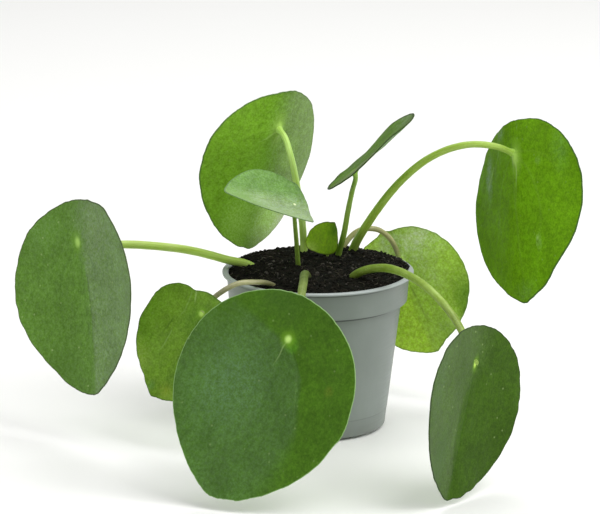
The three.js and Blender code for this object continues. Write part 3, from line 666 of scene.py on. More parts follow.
def moulded_polypropylene(settings):
    """Moulded polypropylene, blue-grey: an even satin skin with a fine moulded grain, a few scuffs
    that run round it, dust and water marks that fade up from its foot, a painted highlight along the
    lip, and dark lines of painted shadow under the lip and the band and at the ring near the foot."""
    material, nodes = new_material("Moulded polypropylene")
    place, height = nodes.place(), nodes.height()
    streaks = nodes.noise(nodes.place((1, 1, 0.12)), 1 / 9, 5, 0.6)
    blotches = nodes.noise(place, 1 / 26, 3)
    grain = nodes.noise(place, 1 / 0.5)
    scratches = nodes.noise(nodes.place((0.15, 0.15, 2.2)), 0.5, 6, 0.75)
    color = nodes.mix(blotches, settings.shade, settings.body)
    color = nodes.mix(nodes.ramp(streaks, 0.45, 0.8, 0, 0.3), color, settings.shade)
    # The lip's paler tone is a painted highlight along its rounded top.
    color = nodes.mix(nodes.ramp(height, 73.9, 74.5, 0, 0.7), color, settings.lip)
    dust = nodes.math("MULTIPLY", nodes.ramp(height, 14, 0, 0, 0.5), streaks)
    color = nodes.mix(dust, color, "6B6C63")
    # Dark lines of painted shadow under the lip and under the band, and a faint one of painted shade
    # at the ring near the foot.
    for low, high, strength in ((72.6, 73.85, 0.85), (59.8, 61.0, 0.85), (9.2, 9.75, 0.25)):
        middle, reach = (low + high) / 2, (high - low) / 2
        away = nodes.math("ABSOLUTE", nodes.math("SUBTRACT", height, middle))
        line = nodes.ramp(away, reach, reach / 2, 0, strength)
        color = nodes.mix(line, color, "3A403C")
    roughness = nodes.ramp(scratches, 0.3, 0.7, 0.36, 0.52)
    bump = nodes.bump(scratches, 0.15, 0.15, nodes.bump(grain, 0.12, 0.1))
    nodes.surface(color, roughness, bump, IOR=1.49)
    return material


class MONEYPLANT_PG_pot(bpy.types.PropertyGroup):
    sides: count_property("Sides", "Facets round the pot", 168, 24)
    body: color_property("Body", "Light tone of the plastic", "828A85")
    shade: color_property("Shade", "Dark tone of the plastic", "6F7772")
    # The lip's tone is a painted highlight.
    lip: color_property("Lip", "Tone of the highlighted lip", "BCC2C4")


class MONEYPLANT_OT_pot(bpy.types.Operator):
    """Turns the nursery pot, joins its feet and drills its drain holes"""
    bl_idname = "money_plant.pot"
    bl_label = "Pot"

    def execute(self, context):
        settings = context.scene.money_plant_pot
        pot = mesh_object("nursery_pot", *lathe(pot_profile(), settings.sides), smooth=False)
        step = 360 / POT.feet
        feet, holes = [], []
        for i in range(POT.feet):
            feet.append(ring_sector(POT.foot_inner, POT.foot_outer, 0, POT.floor_under + 0.3,
                                    POT.foot_first + step * i, POT.foot_span))
            turn = math.radians(POT.foot_first + step * (i + 0.5))
            holes.append(upright_bar(POT.drain_circle * math.cos(turn),
                                     POT.drain_circle * math.sin(turn), POT.drain_radius, -1, 4))
        carve(pot, "feet", feet, "UNION")
        carve(pot, "drain_holes", holes, "DIFFERENCE")
        pot.data.materials.clear()
        pot.data.materials.append(moulded_polypropylene(settings))
        pot.data.shade_smooth()
        pot.data.set_sharp_from_angle(angle=math.radians(38))
        settle(pot, "pot_plastic", "pot")
        return {"FINISHED"}


# Leaf blades


def blade_axes(leaf):
    """The blade's normal on its upper side, its way to the tip and its way to the side."""
    facing, tilt, lean = np.radians([leaf.facing, leaf.tilt, leaf.lean])
    normal = np.array([math.sin(facing) * math.cos(tilt), -math.cos(facing) * math.cos(tilt),
                       math.sin(tilt)])
    down = np.array([0, 0, -1.0]) + normal * normal[2]
    down /= np.linalg.norm(down)
    along = down * math.cos(lean) + np.cross(normal, down) * math.sin(lean)
    return normal, along, np.cross(normal, along)


def edge_wave(tenths, turn):
    """The listed waves at a turn, in millimetres, smooth between the values."""
    waves = np.array(tenths, float) / 10
    place = (np.degrees(turn) + 180) % 360 / 360 * len(waves)
    at = np.floor(place).astype(int)
    t = place - at
    a, b, c, d = (waves[(at + k) % len(waves)] for k in (-1, 0, 1, 2))
    return b + t * ((c - a) + t * ((2 * a - 5 * b + 4 * c - d) + t * (3 * (b - c) + d - a))) / 2


def swells(turn, table):
    """The sum of the (turn, width, height) swells at a turn."""
    total = np.zeros_like(turn)
    for angle, width, height in table:
        away = (np.degrees(turn) - angle + 180) % 360 - 180
        total += height * np.exp(-(away / width) ** 2)
    return total


def blade_edge(leaf, turn):
    """The blade's outline about its node, in its own plane."""
    c, s = np.cos(turn), np.sin(turn)
    reach = np.where(c > 0, 1 - leaf.widest, leaf.widest)
    draw = 1 - 2 * swells(turn, leaf.dents) / leaf.width
    u = leaf.length * (leaf.widest - leaf.hold + reach * c * draw)
    v = leaf.width / 2 * s * (1 - leaf.point * np.maximum(c, 0) ** 2) * draw
    return u, v


def bend(distance, span, degrees):
    """How far a strip's points move along and up when its end is bent by that angle."""
    angle = math.radians(degrees)
    if abs(angle) < 1e-6:
        return distance, np.zeros_like(distance)
    swept = angle * distance / span
    return span / angle * np.sin(swept), span / angle * (1 - np.cos(swept))


def blade_surface(leaf, u, v, share, turn, lift, crease):
    """Points of the bent blade, in millimetres, lift above its middle surface."""
    half = leaf.width / 2
    run, rise = bend(v, half, leaf.cup)
    fold = math.radians(leaf.vee)
    softly = np.sqrt(run * run + crease * crease) - crease
    sideways = run * math.cos(fold) - np.sign(v) * rise * math.sin(fold)
    folded = softly * math.sin(fold) + rise * math.cos(fold)
    lengthways, arched = bend(u, (1 - leaf.hold) * leaf.length, leaf.arch)
    height, lobes, phase = leaf.ripple
    waves = (height * np.sin(lobes * turn + math.radians(phase)) + swells(turn, leaf.waves)
             + edge_wave(leaf.lift, turn))
    twisted = leaf.twist * u / leaf.length * v / half
    normal, along, side = blade_axes(leaf)
    up = folded + arched + share ** 3 * waves + twisted + lift
    return (np.array(leaf.node) + lengthways[:, None] * along + sideways[:, None] * side
            + up[:, None] * normal)


def curve_points(start, control, end, steps=14):
    """Points of a curve from start to end that bends towards control."""
    t = np.linspace(0, 1, steps)[:, None]
    start, control, end = (np.array(p, float) for p in (start, control, end))
    return (1 - t) ** 2 * start + 2 * t * (1 - t) * control + t ** 2 * end


def vein_lines(leaf, seed):
    """Middle lines of the veins in the blade's plane, each with its strength."""
    tip, back = (1 - leaf.hold) * leaf.length, leaf.hold * leaf.length
    half = leaf.width / 2
    draw = np.random.default_rng(seed)
    lines = [(curve_points((0, 0), (tip * 0.5, half * 0.03), (tip * 0.97, 0)), 1.0),
             (curve_points((0, 0), (-back * 0.5, half * 0.05), (-back * 0.85, 0)), 0.4)]
    for hand in (-half, half):
        inner = curve_points((0, 0), (tip * 0.30, hand * 0.66), (tip * 0.9, hand * 0.16))
        outer = curve_points((0, 0), (tip * 0.02, hand * 0.9), (tip * 0.6, hand * 0.74))
        rear = curve_points((0, 0), (-back * 0.75, hand * 0.42), (-back * 0.2, hand * 0.84))
        lines += [(inner, 0.8), (outer, 0.5), (rear, 0.35)]
        mains = (lines[0][0], 0.42, 0.3), (inner, 0.5, 0.25), (outer, 0.3, 0.2)
        for main, reach, strength in mains:
            for k in range(2, len(main) - 2, 2):
                start = main[k]
                way = main[k + 1] - main[k]
                way /= np.linalg.norm(way)
                out = np.array([-way[1], way[0]]) * np.sign(hand)
                length = half * reach * (1 - 0.6 * k / len(main)) * draw.uniform(0.75, 1.1)
                middle = start + (way * 0.3 + out * 0.45) * length
                end = start + (way * 0.75 + out * 0.8) * length
                lines.append((curve_points(start, middle, end, 6), strength))
    return lines


def vein_field(u, v, lines, width):
    """How strongly each point lies on a vein, from 0 to 1."""
    field = np.zeros_like(u)
    for points, strength in lines:
        for i in range(len(points) - 1):
            a, b = points[i], points[i + 1]
            span = b - a
            t = np.clip(((u - a[0]) * span[0] + (v - a[1]) * span[1]) / (span @ span), 0, 1)
            away = np.hypot(u - a[0] - t * span[0], v - a[1] - t * span[1])
            fade = 1 - 0.8 * smoothstep(0.4, 1, (i + t) / (len(points) - 1))
            thinner = width * (0.6 + 0.4 * strength)
            field = np.maximum(field, strength * fade * np.exp(-(away / thinner) ** 2))
    return field


def blade_grid(leaf, settings, seed):
    """The number of spokes, and for the flat blade's points, the node first and then ring by
    ring: u, v, the share of the way to the edge, the turn, and the distance to the edge."""
    spokes, rings = settings.spokes, settings.rings
    if leaf.length < SMALL_LEAF:
        spokes, rings = spokes // 2, rings // 2
    turns = around(spokes)
    edge_u, edge_v = blade_edge(leaf, turns)
    mean, spacing = leaf.width / 2, settings.scallop / MM
    rim = np.column_stack([np.cos(turns), np.sin(turns), np.zeros(spokes)]) * mean
    wave = rough(rim, spacing, seed)
    swell = rough(rim, 26, seed + 3)
    fine = rough(rim, spacing * 0.45, seed + 7)
    scallops = settings.scallop_depth / MM * (wave * (0.6 + 0.4 * swell) + 0.35 * fine)
    radius = np.hypot(edge_u, edge_v)
    reach = (edge_wave(leaf.edge, turns) + scallops) / radius
    near = [1 - d / mean for d in (0.9, 0.5, 0.28, 0.13, 0.04)]
    shares = np.concatenate([np.linspace(0, near[0], rings)[1:], near[1:], [1.0]])

    def every(values, node=0):
        """A value for each point, from one for each spoke."""
        return np.concatenate([[node], np.tile(values, len(shares))])

    share = np.concatenate([[0], np.repeat(shares, spokes)])
    drawn = share * (1 + every(reach) * share ** 4)
    to_edge = (1 - share) * every(radius, mean)
    return spokes, every(edge_u) * drawn, every(edge_v) * drawn, share, every(turns), to_edge


def blade_faces(spokes, rings, under):
    """Faces of both sides. The lower side's points start at number under, and the outermost
    ring belongs to both."""
    faces = []
    for i in range(spokes):
        j = (i + 1) % spokes
        faces += [(0, 1 + i, 1 + j), (under, under + 1 + j, under + 1 + i)]
        for ring in range(rings - 1):
            a, b = 1 + ring * spokes, 1 + (ring + 1) * spokes
            c, d = under + a, (under + b if ring < rings - 2 else b)
            faces += [(a + i, b + i, b + j, a + j), (c + i, c + j, d + j, d + i)]
    return faces


def blade_mesh(name, leaf, settings, seed, material):
    """A blade with rounded edge, relief of veins and soft puckers, and its named fields."""
    spokes, u, v, share, turn, to_edge = blade_grid(leaf, settings, seed)
    size = min(1.0, leaf.length / 60)
    reliefs = settings.groove, settings.rib, settings.boss
    groove, rib, boss = (relief / MM * size for relief in reliefs)
    veins = vein_field(u, v, vein_lines(leaf, seed), settings.vein_width / MM * size)
    flat = np.column_stack([u, v, np.full_like(u, seed * 7.0)])
    calm = smoothstep(0, 6 * size, to_edge)
    pucker = settings.pucker / MM * size * (rough(flat, 9, seed) + 0.4 * rough(flat, 3.6, seed + 5))
    dimple = 0.25 * size * np.exp(-(np.hypot(u, v) / (3 * size)) ** 2)
    middle = pucker * (0.35 + 0.65 * calm) - dimple
    marks = np.zeros_like(u)
    for strength, width, route in leaf.marks:
        marks += strength * vein_field(u, v, [(np.array(route, float), 1.0)], width)
    seam_u, seam_v, softness = np.array(leaf.seam, float).T
    soft = np.interp(u, seam_u, softness)
    crease = np.maximum(settings.crease / MM, 0.7 * soft)
    thickness = settings.thickness / MM * size ** 0.5 * (1 - 0.3 * share ** 2)
    round_edge = np.sqrt(np.clip(1 - (1 - np.clip(to_edge / 0.32, 0, 1)) ** 2, 0, 1))
    upper = thickness / 2 * round_edge - groove * veins * calm
    lower = -thickness / 2 * round_edge - rib * veins * calm
    past, off = u - leaf.joint[0], v - leaf.joint[1]
    wide = leaf.tip * 0.62
    long = wide * np.where(u > 0, 2.2, 1)
    lower -= boss * np.exp(-(past / long) ** 2 - (off / wide) ** 2)
    top = blade_surface(leaf, u, v, share, turn, middle + upper, crease)
    bottom = blade_surface(leaf, u, v, share, turn, middle + lower, crease)
    inner = len(u) - spokes
    points = np.concatenate([top, bottom[:inner]])
    low, high = (np.array(corner) / MM for corner in CAD_BOX)
    points += np.maximum(low + BOX_INSET - points.min(axis=0), 0)
    points -= np.maximum(points.max(axis=0) - high + BOX_INSET, 0)
    blade = mesh_object(name, points, blade_faces(spokes, len(u) // spokes, len(u)), material)

    def both(values):
        return np.concatenate([values, values[:inner]])

    heart = np.hypot(u / leaf.spot[0], v / leaf.spot[1])
    joint = np.hypot(past / (1.3 * leaf.tip), off / (0.6 * leaf.tip))
    fields = {
        "upper": np.concatenate([np.ones(inner), np.full(spokes, 0.5), np.zeros(inner)]),
        "vein": both(veins), "rim": both(to_edge),
        "heart": np.concatenate([heart, joint[:inner]]), "mark": both(marks),
        "aside": both((v - np.interp(u, seam_u, seam_v)) / soft),
        "blade": both(np.column_stack([u, v, np.full_like(u, seed * 31.0)])),
    }
    for field, values in fields.items():
        kind, part = ("FLOAT", "value") if values.ndim == 1 else ("FLOAT_VECTOR", "vector")
        attribute = blade.data.attributes.new(field, kind, "POINT")
        attribute.data.foreach_set(part, values.astype(np.float32).ravel())
    return blade


def leaf_tissue(name, leaf, settings):
    """Leaf tissue under a thin cuticle: satin green that mottles with the cells below it, each
    half in its own tone, partly painted sheen, the lower face painted lighter for light shining
    through, blotchy ovals of tint whose whitish ones are painted sheen, a few veins that show,
    creases darkened with painted shade, lime where the stem joins with painted light and a
    painted glint, and a thin margin."""
    material, nodes = new_material(name)
    math_node, mix, ease = nodes.math, nodes.mix, nodes.ease
    flat = nodes.field("blade", "Vector")
    upper, mark, heart = (nodes.field(field) for field in ("upper", "mark", "heart"))
    patches = nodes.noise(flat, 1 / 13)
    mottle = nodes.noise(flat, 1 / 2.2, 4, 0.7)
    blotch_noise = nodes.noise(flat, 1 / 3, 4, 0.75)
    grain = nodes.noise(flat, 1 / 0.9, 3, 0.6)
    half = ease(nodes.field("aside"), -1, 1)
    face = ease(upper, 0.4, 0.6)
    # Each half's colour is partly its own and partly painted light: painted sheen on the greyer
    # half, and the lower face painted lighter for light shining through.
    color = mix(face, mix(half, *leaf.below), mix(half, *leaf.above))
    patch_shade = ease(patches, 0.3, 0.7, 1 - leaf.patchy, 1 + leaf.patchy)
    shade = math_node("MULTIPLY", patch_shade, ease(mottle, 0.28, 0.72, 0.81, 1.19))
    color = nodes.scale(color, shade)
    # Tones and blooms only tint the face that shows from the front. The whitish blooms are painted
    # sheen, and some light tones are painted light on shade cast by other leaves.
    shown = ease(upper, 0.4, 0.6, 1, 0) if abs(leaf.facing) > SEEN_FROM_BELOW else face
    broad = [(*tone, 0.85, 1.15) for tone in leaf.tones]
    blotchy_ovals = [(*blotchy_oval, 0.35, 1.55) for blotchy_oval in leaf.blooms]
    for u, v, along, across, soft, strength, tone, least, most in broad + blotchy_ovals:
        centred = nodes.vector("SUBTRACT", flat, (u, v, 0))
        scaled = nodes.vector("MULTIPLY", centred, (1 / along, 1 / across, 0))
        away = nodes.vector("LENGTH", scaled).outputs["Value"]
        inside = ease(away, 1, 1 - soft, 0, strength)
        uneven = math_node("MULTIPLY", inside, ease(blotch_noise, 0.33, 0.68, least, most))
        color = mix(math_node("MULTIPLY", uneven, shown, clamp=True), color, tone)
    color = nodes.tint(color, ease(grain, 0.3, 0.7, -1, 1), (0.19, 0.12, 0.5))
    strayed = nodes.vector("MULTIPLY_ADD", blotch_noise.outputs["Color"], (1.6, 1.6, 0), flat)
    meshes = nodes.cells(strayed, 1 / 4, feature="DISTANCE_TO_EDGE")
    color = nodes.scale(color, ease(meshes, 0.02, 0.14, 1 - leaf.net, 1))
    veined = math_node("MULTIPLY", nodes.field("vein"), settings.vein_tint)
    color = mix(veined, color, mix(face, "86A84A", "2F5212"))
    color = mix(ease(mark, 0.04, 1, 0, 0.8), color, "C0DC90")
    # Dark marks: darker veins, and painted shade in the creases.
    color = mix(ease(mark, -0.04, -1, 0, 0.8), color, "27400F")
    # The glow and the spot at the heart: its own lime, brightened as painted light shining through,
    # and in the spot a painted glint.
    color = mix(ease(heart, 3.2, 0.8, 0, leaf.glow), color, mix(face, "A2C85A", "7DB028"))
    color = mix(ease(heart, 1.5, 0.3, 0, 0.9), color, mix(face, "A6CC62", leaf.spot[2]))
    speck = nodes.cells(flat, 1 / 4.5)
    chosen = nodes.add("ShaderNodeSeparateColor", {0: speck.outputs["Color"]})
    dots = math_node("MULTIPLY", ease(speck, 0.16, 0.03, 0, leaf.specks), ease(chosen, 0.5, 0.6))
    color = mix(dots, color, "9DB474")
    tone, strength, width = leaf.margin
    color = mix(ease(nodes.field("rim"), width, width * 0.35, 0, strength), color, tone)
    dimples = nodes.bump(nodes.cells(flat, 1 / 0.8), 0.25, 0.06)
    nodes.surface(color, ease(mottle, 0.3, 0.7, 0.34, 0.48), nodes.bump(mottle, 0.5, 0.25, dimples),
                  IOR=1.4, Specular_IOR_Level=leaf.gloss, Sheen_Weight=0.02, Sheen_Roughness=0.4,
                  Sheen_Tint="E6EEDD")
    return material


class MONEYPLANT_PG_leaves(bpy.types.PropertyGroup):
    spokes: count_property("Spokes", "Points round a blade's edge", 240, 32)
    rings: count_property("Rings", "Rings of points from node to edge", 44, 8)
    thickness: size_property("Thickness", "Thickness of a blade at its node", 0.9)
    crease: size_property("Crease", "Softness of the fold along the midrib", 1.2)
    vein_width: size_property("Vein width", "Half width of a main vein", 0.75)
    groove: size_property("Groove", "How deep veins sink into the upper face", 0.07)
    rib: size_property("Rib", "How far veins stand out of the lower face", 0.12)
    boss: size_property("Boss", "How far the lower face swells out to meet the stem", 1.5)
    pucker: size_property("Pucker", "Height of the soft puckers between the veins", 0.3)
    scallop: size_property("Scallop", "Spacing of the edge's shallow scallops", 3.2)
    scallop_depth: size_property("Scallop depth", "Depth of the edge's shallow scallops", 0.46)
    vein_tint: value_property("Vein tint", "How much the veins' colour shows", 0.16,
                              subtype="FACTOR", min=0, max=1)


class MONEYPLANT_OT_leaves(bpy.types.Operator):
    """Grows the ten blades, each with its veins, puckers and edge"""
    bl_idname = "money_plant.leaves"
    bl_label = "Leaves"

    def execute(self, context):
        settings = context.scene.money_plant_leaves
        for seed, (name, leaf) in enumerate(LEAVES.items(), 1):
            material = leaf_tissue(f"Leaf tissue {name.replace('_', ' ')}", leaf, settings)
            blade = blade_mesh(f"blade_{name}", leaf, settings, seed, material)
            from_below = abs(leaf.facing) > SEEN_FROM_BELOW
            settle(blade, "leaf_under" if from_below else "leaf_upper", f"leaf_{name}")
        return {"FINISHED"}


# Leaf stems


def stem_route(leaf):
    """The stem's middle line, from the rootstock through its route into the blade."""
    turn, height = math.radians(leaf.root[0]), leaf.root[1]
    way = np.array([math.cos(turn), math.sin(turn), 0])
    share = (height - leaf.foot / 2 - ROOT.belly) / (ROOT.top - ROOT.belly)
    reach = ROOT.waist + (ROOT.shoulder - ROOT.waist) * share + TOUCH_GAP
    root = np.array([ROOT.x, ROOT.y, height]) + way * reach
    end = np.array(leaf.node) - blade_axes(leaf)[0] * (HALF_BLADE + TOUCH_GAP)
    return [root, root + way * BURIED_RUN, *(np.array(p, float) for p in leaf.route), end]


def smooth_line(points, steps=24):
    """A centripetal curve through the points, as a close row of points."""
    points = [2 * points[0] - points[1], *points, 2 * points[-1] - points[-2]]
    line = []
    for i in range(1, len(points) - 2):
        p0, p1, p2, p3 = points[i - 1:i + 3]
        d0, d1, d2 = (math.sqrt(np.linalg.norm(b - a)) for a, b in ((p0, p1), (p1, p2), (p2, p3)))
        leave = ((p1 - p0) / d0 - (p2 - p0) / (d0 + d1) + (p2 - p1) / d1) * d1
        arrive = ((p2 - p1) / d1 - (p3 - p1) / (d1 + d2) + (p3 - p2) / d2) * d1
        for t in np.linspace(0, 1, steps, endpoint=False):
            line.append(p1 + leave * t + (3 * (p2 - p1) - 2 * leave - arrive) * t ** 2
                        + (2 * (p1 - p2) + leave + arrive) * t ** 3)
    line.append(points[-2])
    return line


def stem_tree():
    """A round tapering bar along a line, with a collar at the blade."""
    tree, nodes, given = new_geometry_tree(
        "Leaf stem", ("Foot diameter", "Tip diameter", "Collar", "Step", "Waver"), ("Sides",))
    line = nodes.add("GeometryNodeMeshToCurve", {"Mesh": given["Geometry"]})
    even = nodes.add("GeometryNodeResampleCurve", {"Curve": line, "Length": given["Step"]},
                     mode="LENGTH")
    place = nodes.add("GeometryNodeSplineParameter").outputs
    total = nodes.add("GeometryNodeSplineLength").outputs["Length"]
    left = nodes.math("SUBTRACT", total, place["Length"])
    diameter = nodes.ramp(place["Factor"], 0, 1, given["Foot diameter"], given["Tip diameter"])
    flare = nodes.ramp(left, 3.5 * MM, 0, kind="SMOOTHERSTEP")
    wide = nodes.math("ADD", diameter, nodes.math("MULTIPLY", flare, given["Collar"]))
    marked = nodes.store(nodes.store(even, "along", place["Factor"]), "left", left)
    section = nodes.add("GeometryNodeCurvePrimitiveCircle", {
        "Resolution": given["Sides"], "Radius": 1})
    about = nodes.store(section, "about", nodes.add("GeometryNodeInputPosition"), "FLOAT_VECTOR")
    bar = nodes.add("GeometryNodeCurveToMesh", {
        "Curve": marked, "Profile Curve": about, "Scale": nodes.math("MULTIPLY", wide, 0.5),
        "Fill Caps": True})
    waves = nodes.add("ShaderNodeTexNoise", {"Scale": 260, "Detail": 1, "W": given["Seed"]},
                      noise_dimensions="4D")
    uneven = nodes.push(bar, waves, given["Waver"])
    nodes.finish(nodes.add("GeometryNodeSetShadeSmooth", {"Geometry": uneven}), given)
    return tree


def stem_skin(name, leaf):
    """Skin of a fleshy leaf stem: smooth and satin, from its foot's tone to its tip's, with fine
    lengthwise streaks, tiny pale pores, and a foot that is darker and browner in grainy spots
    where it leaves the peat."""
    material, nodes = new_material(name)
    place, left = nodes.place(), nodes.field("left")
    grain = nodes.noise(place, 1 / 0.5, 3)
    uneven = nodes.ramp(nodes.noise(place, 1 / 5, 4, 0.6), 0.3, 0.7, -0.25, 0.25)
    growth = nodes.ramp(nodes.field("along"), 0.12, 0.95)
    color = nodes.mix(nodes.math("ADD", growth, uneven, clamp=True), *leaf.skin)
    pores = nodes.ramp(nodes.cells(place, 1 / 1.3), 0.22, 0.08, 0, 0.25)
    color = nodes.mix(pores, color, "D2DDAE")
    color = nodes.mix(nodes.ramp(left, 6 * MM, 1 * MM, 0, 0.6), color, "A9D35C")
    # Darker and browner in grainy spots near the peat.
    low = nodes.ramp(nodes.height(), 80.5, 76, 0, 0.8)
    color = nodes.mix(nodes.math("MULTIPLY", low, grain, clamp=True), color, "4A4A22")
    down = nodes.add("ShaderNodeCombineXYZ", {2: nodes.math("MULTIPLY", left, 1 / (30 * MM))})
    lengthways = nodes.vector("ADD", nodes.field("about", "Vector"), down)
    streaks = nodes.ramp(nodes.noise(lengthways, 2.4, 4, 0.6), 0.32, 0.68, -1, 1)
    color = nodes.tint(color, streaks, (0.16, 0.12, 0.5))
    nodes.surface(color, 0.42, nodes.bump(grain, 0.3, 0.08), IOR=1.4, Specular_IOR_Level=0.35,
                  Sheen_Weight=0.05, Sheen_Roughness=0.35, Sheen_Tint="EEF4DC")
    return material


class MONEYPLANT_PG_stems(bpy.types.PropertyGroup):
    sides: count_property("Sides", "Facets round a stem", 24, 8)
    step: size_property("Step", "Distance between a stem's sections", 1.1)
    collar: size_property("Collar", "How much wider a stem is at its blade", 1.0)
    waver: size_property("Waver", "Unevenness of a stem's thickness", 0.22)


class MONEYPLANT_OT_stems(bpy.types.Operator):
    """Grows the ten leaf stems along their routes"""
    bl_idname = "money_plant.stems"
    bl_label = "Stems"

    def execute(self, context):
        settings = context.scene.money_plant_stems
        tree = stem_tree()
        for seed, (name, leaf) in enumerate(LEAVES.items(), 1):
            line = smooth_line(stem_route(leaf))
            line.append(line[-1] + blade_axes(leaf)[0] * TOUCH_GAP)
            edges = [(i, i + 1) for i in range(len(line) - 1)]
            stem = mesh_object(f"petiole_{name}", line, [], smooth=False, edges=edges)
            grow(stem, tree, {
                "Foot diameter": leaf.foot * MM, "Tip diameter": leaf.tip * MM,
                "Collar": settings.collar * min(1.0, leaf.tip / 2.6), "Sides": settings.sides,
                "Step": settings.step, "Waver": settings.waver, "Seed": seed,
                "Material": stem_skin(f"Stem skin {name.replace('_', ' ')}", leaf),
            })
            dry = leaf.skin in (TAN_SKIN, BROWN_SKIN)
            settle(stem, "tan_stem" if dry else "leaf_stem", f"stem_{name}")
        return {"FINISHED"}


# Soil and rootstock


def soil_top(x, y):
    """Height of the smoothed soil surface."""
    radius = np.minimum(np.hypot(x, y) / POT.lip_inner, 1)
    return SOIL.rim + SOIL.lean * y / POT.lip_inner + SOIL.mound * (1 - radius ** SOIL.flatness)


def moist_peat(settings):
    """Moist peat: near black and matt, with brown where it has dried and a wet glint in
    the grains."""
    material, nodes = new_material("Moist peat")
    place = nodes.place()
    patches = nodes.noise(place, 1 / 4, 5, 0.65)
    grain = nodes.noise(place, 1 / 0.45, 4, 0.7)
    color = nodes.mix(nodes.ramp(patches, 0.42, 0.72), settings.wet, settings.dry)
    odd = nodes.ramp(nodes.field("tone"), 0.92, 0.98, 0, 0.65)
    color = nodes.mix(odd, color, settings.crumb)
    color = nodes.scale(color, nodes.ramp(grain, 0.3, 0.75, 0.5, 1.4))
    roughness = nodes.ramp(patches, 0.3, 0.6, 0.7, 0.95)
    nodes.surface(color, roughness, nodes.bump(grain, 0.7, 0.3), IOR=1.45, Specular_IOR_Level=0.12)
    return material


def plant_fibre():
    """Dried fibre of moss and root: matt straw brown, darker where it lies wet."""
    material, nodes = new_material("Dried plant fibre")
    wet = nodes.noise(nodes.place(), 0.42, 3)
    share = nodes.math("MULTIPLY", nodes.field("tone"), wet)
    nodes.surface(nodes.mix(share, "15100B", "6A6252"), 0.85, nodes.bump(wet, 0.4, 0.1))
    return material


def crumb_tree():
    """Rough crumbs of random size, turn and tone, scattered over a surface."""
    tree, nodes, given = new_geometry_tree(
        "Peat crumbs", ("Per area", "Smallest", "Largest"), ("Detail",))
    ball = nodes.add("GeometryNodeMeshIcoSphere", {"Radius": 1, "Subdivisions": given["Detail"]})
    skewed = nodes.math("POWER", nodes.draw(0.0, 1.0, given["Seed"]), 2.6)
    size = nodes.ramp(skewed, 0, 1, given["Smallest"], given["Largest"])
    scale = nodes.scale(nodes.draw((0.65, 0.65, 0.4), (1.3, 1.0, 0.85), given["Seed"]), size)
    spin = (-0.6, -0.6, 0), (0.6, 0.6, 6.28)
    crumbs = nodes.scatter(given, ball, spin, scale, (0.0, 1.0), 7)
    lumps = nodes.add("ShaderNodeTexNoise", {"Scale": 1100, "Detail": 2})
    nodes.finish(nodes.push(crumbs, lumps, 1.1 * MM), given)
    return tree


def fibre_tree():
    """Bent fibres that lie about on a surface."""
    tree, nodes, given = new_geometry_tree("Peat fibres", ("Per area", "Length", "Thickness"), ())
    arc = nodes.add("GeometryNodeCurveQuadraticBezier", {
        "Resolution": 6, "Start": (-0.5, 0, 0), "Middle": (0.05, 0.28, 0.12), "End": (0.5, 0, 0)})
    section = nodes.add("GeometryNodeCurvePrimitiveCircle", {"Resolution": 4, "Radius": 1})
    thin = nodes.math("DIVIDE", given["Thickness"], given["Length"])
    fibre = nodes.add("GeometryNodeCurveToMesh", {
        "Curve": arc, "Profile Curve": section, "Scale": thin, "Fill Caps": True})
    scale = nodes.scale(nodes.draw((0.35, -1.3, -1), (1.5, 1.3, 1), given["Seed"]), given["Length"])
    spin = (-0.25, -0.22, 0), (0.5, 0.22, 6.28)
    fibres = nodes.scatter(given, fibre, spin, scale, (0.2, 1.5), 11)
    lifted = nodes.add("GeometryNodeSetPosition", {"Geometry": fibres, "Offset": (0, 0, 0.5 * MM)})
    nodes.finish(lifted, given)
    return tree


def soil_surface(settings):
    """Points and faces of the soil's crumbly top, out to the pot's wall."""
    rings, spokes, edge = SOIL.rings, SOIL.spokes, SOIL_EDGE
    radii, turns = np.linspace(0, edge, rings + 1)[1:], around(spokes)
    x = np.concatenate([[0], np.outer(radii, np.cos(turns)).ravel()])
    y = np.concatenate([[0], np.outer(radii, np.sin(turns)).ravel()])
    away, top = np.hypot(x, y), soil_top(x, y)
    flat = np.column_stack([x, y, np.zeros_like(x)])
    bumps = 0.75 * rough(flat, 6.5, 41) + 0.5 * rough(flat, 2.6, 42) + 0.3 * rough(flat, 1.2, 43)
    heaped = (away / edge) ** 6 - (away / edge) ** 16
    low = np.clip(POT.height + 1.2 - top, 0, 0.9)
    behind = smoothstep(0.38, 0.55, y / np.maximum(away, 1))
    ridge = low * smoothstep(edge - 6, edge - 1.2, away) * behind
    z = (top - 0.45 + heaped * smoothstep(-20, 30, y) + ridge
         + settings.relief / MM * bumps * (0.45 + 0.55 * smoothstep(edge, edge - 4, away)))
    faces = [(0, 1 + k, 1 + (k + 1) % spokes) for k in range(spokes)]
    for ring in range(rings - 1):
        faces += ring_faces(1 + ring * spokes, 1 + (ring + 1) * spokes, spokes)
    return np.column_stack([x, y, z]), faces


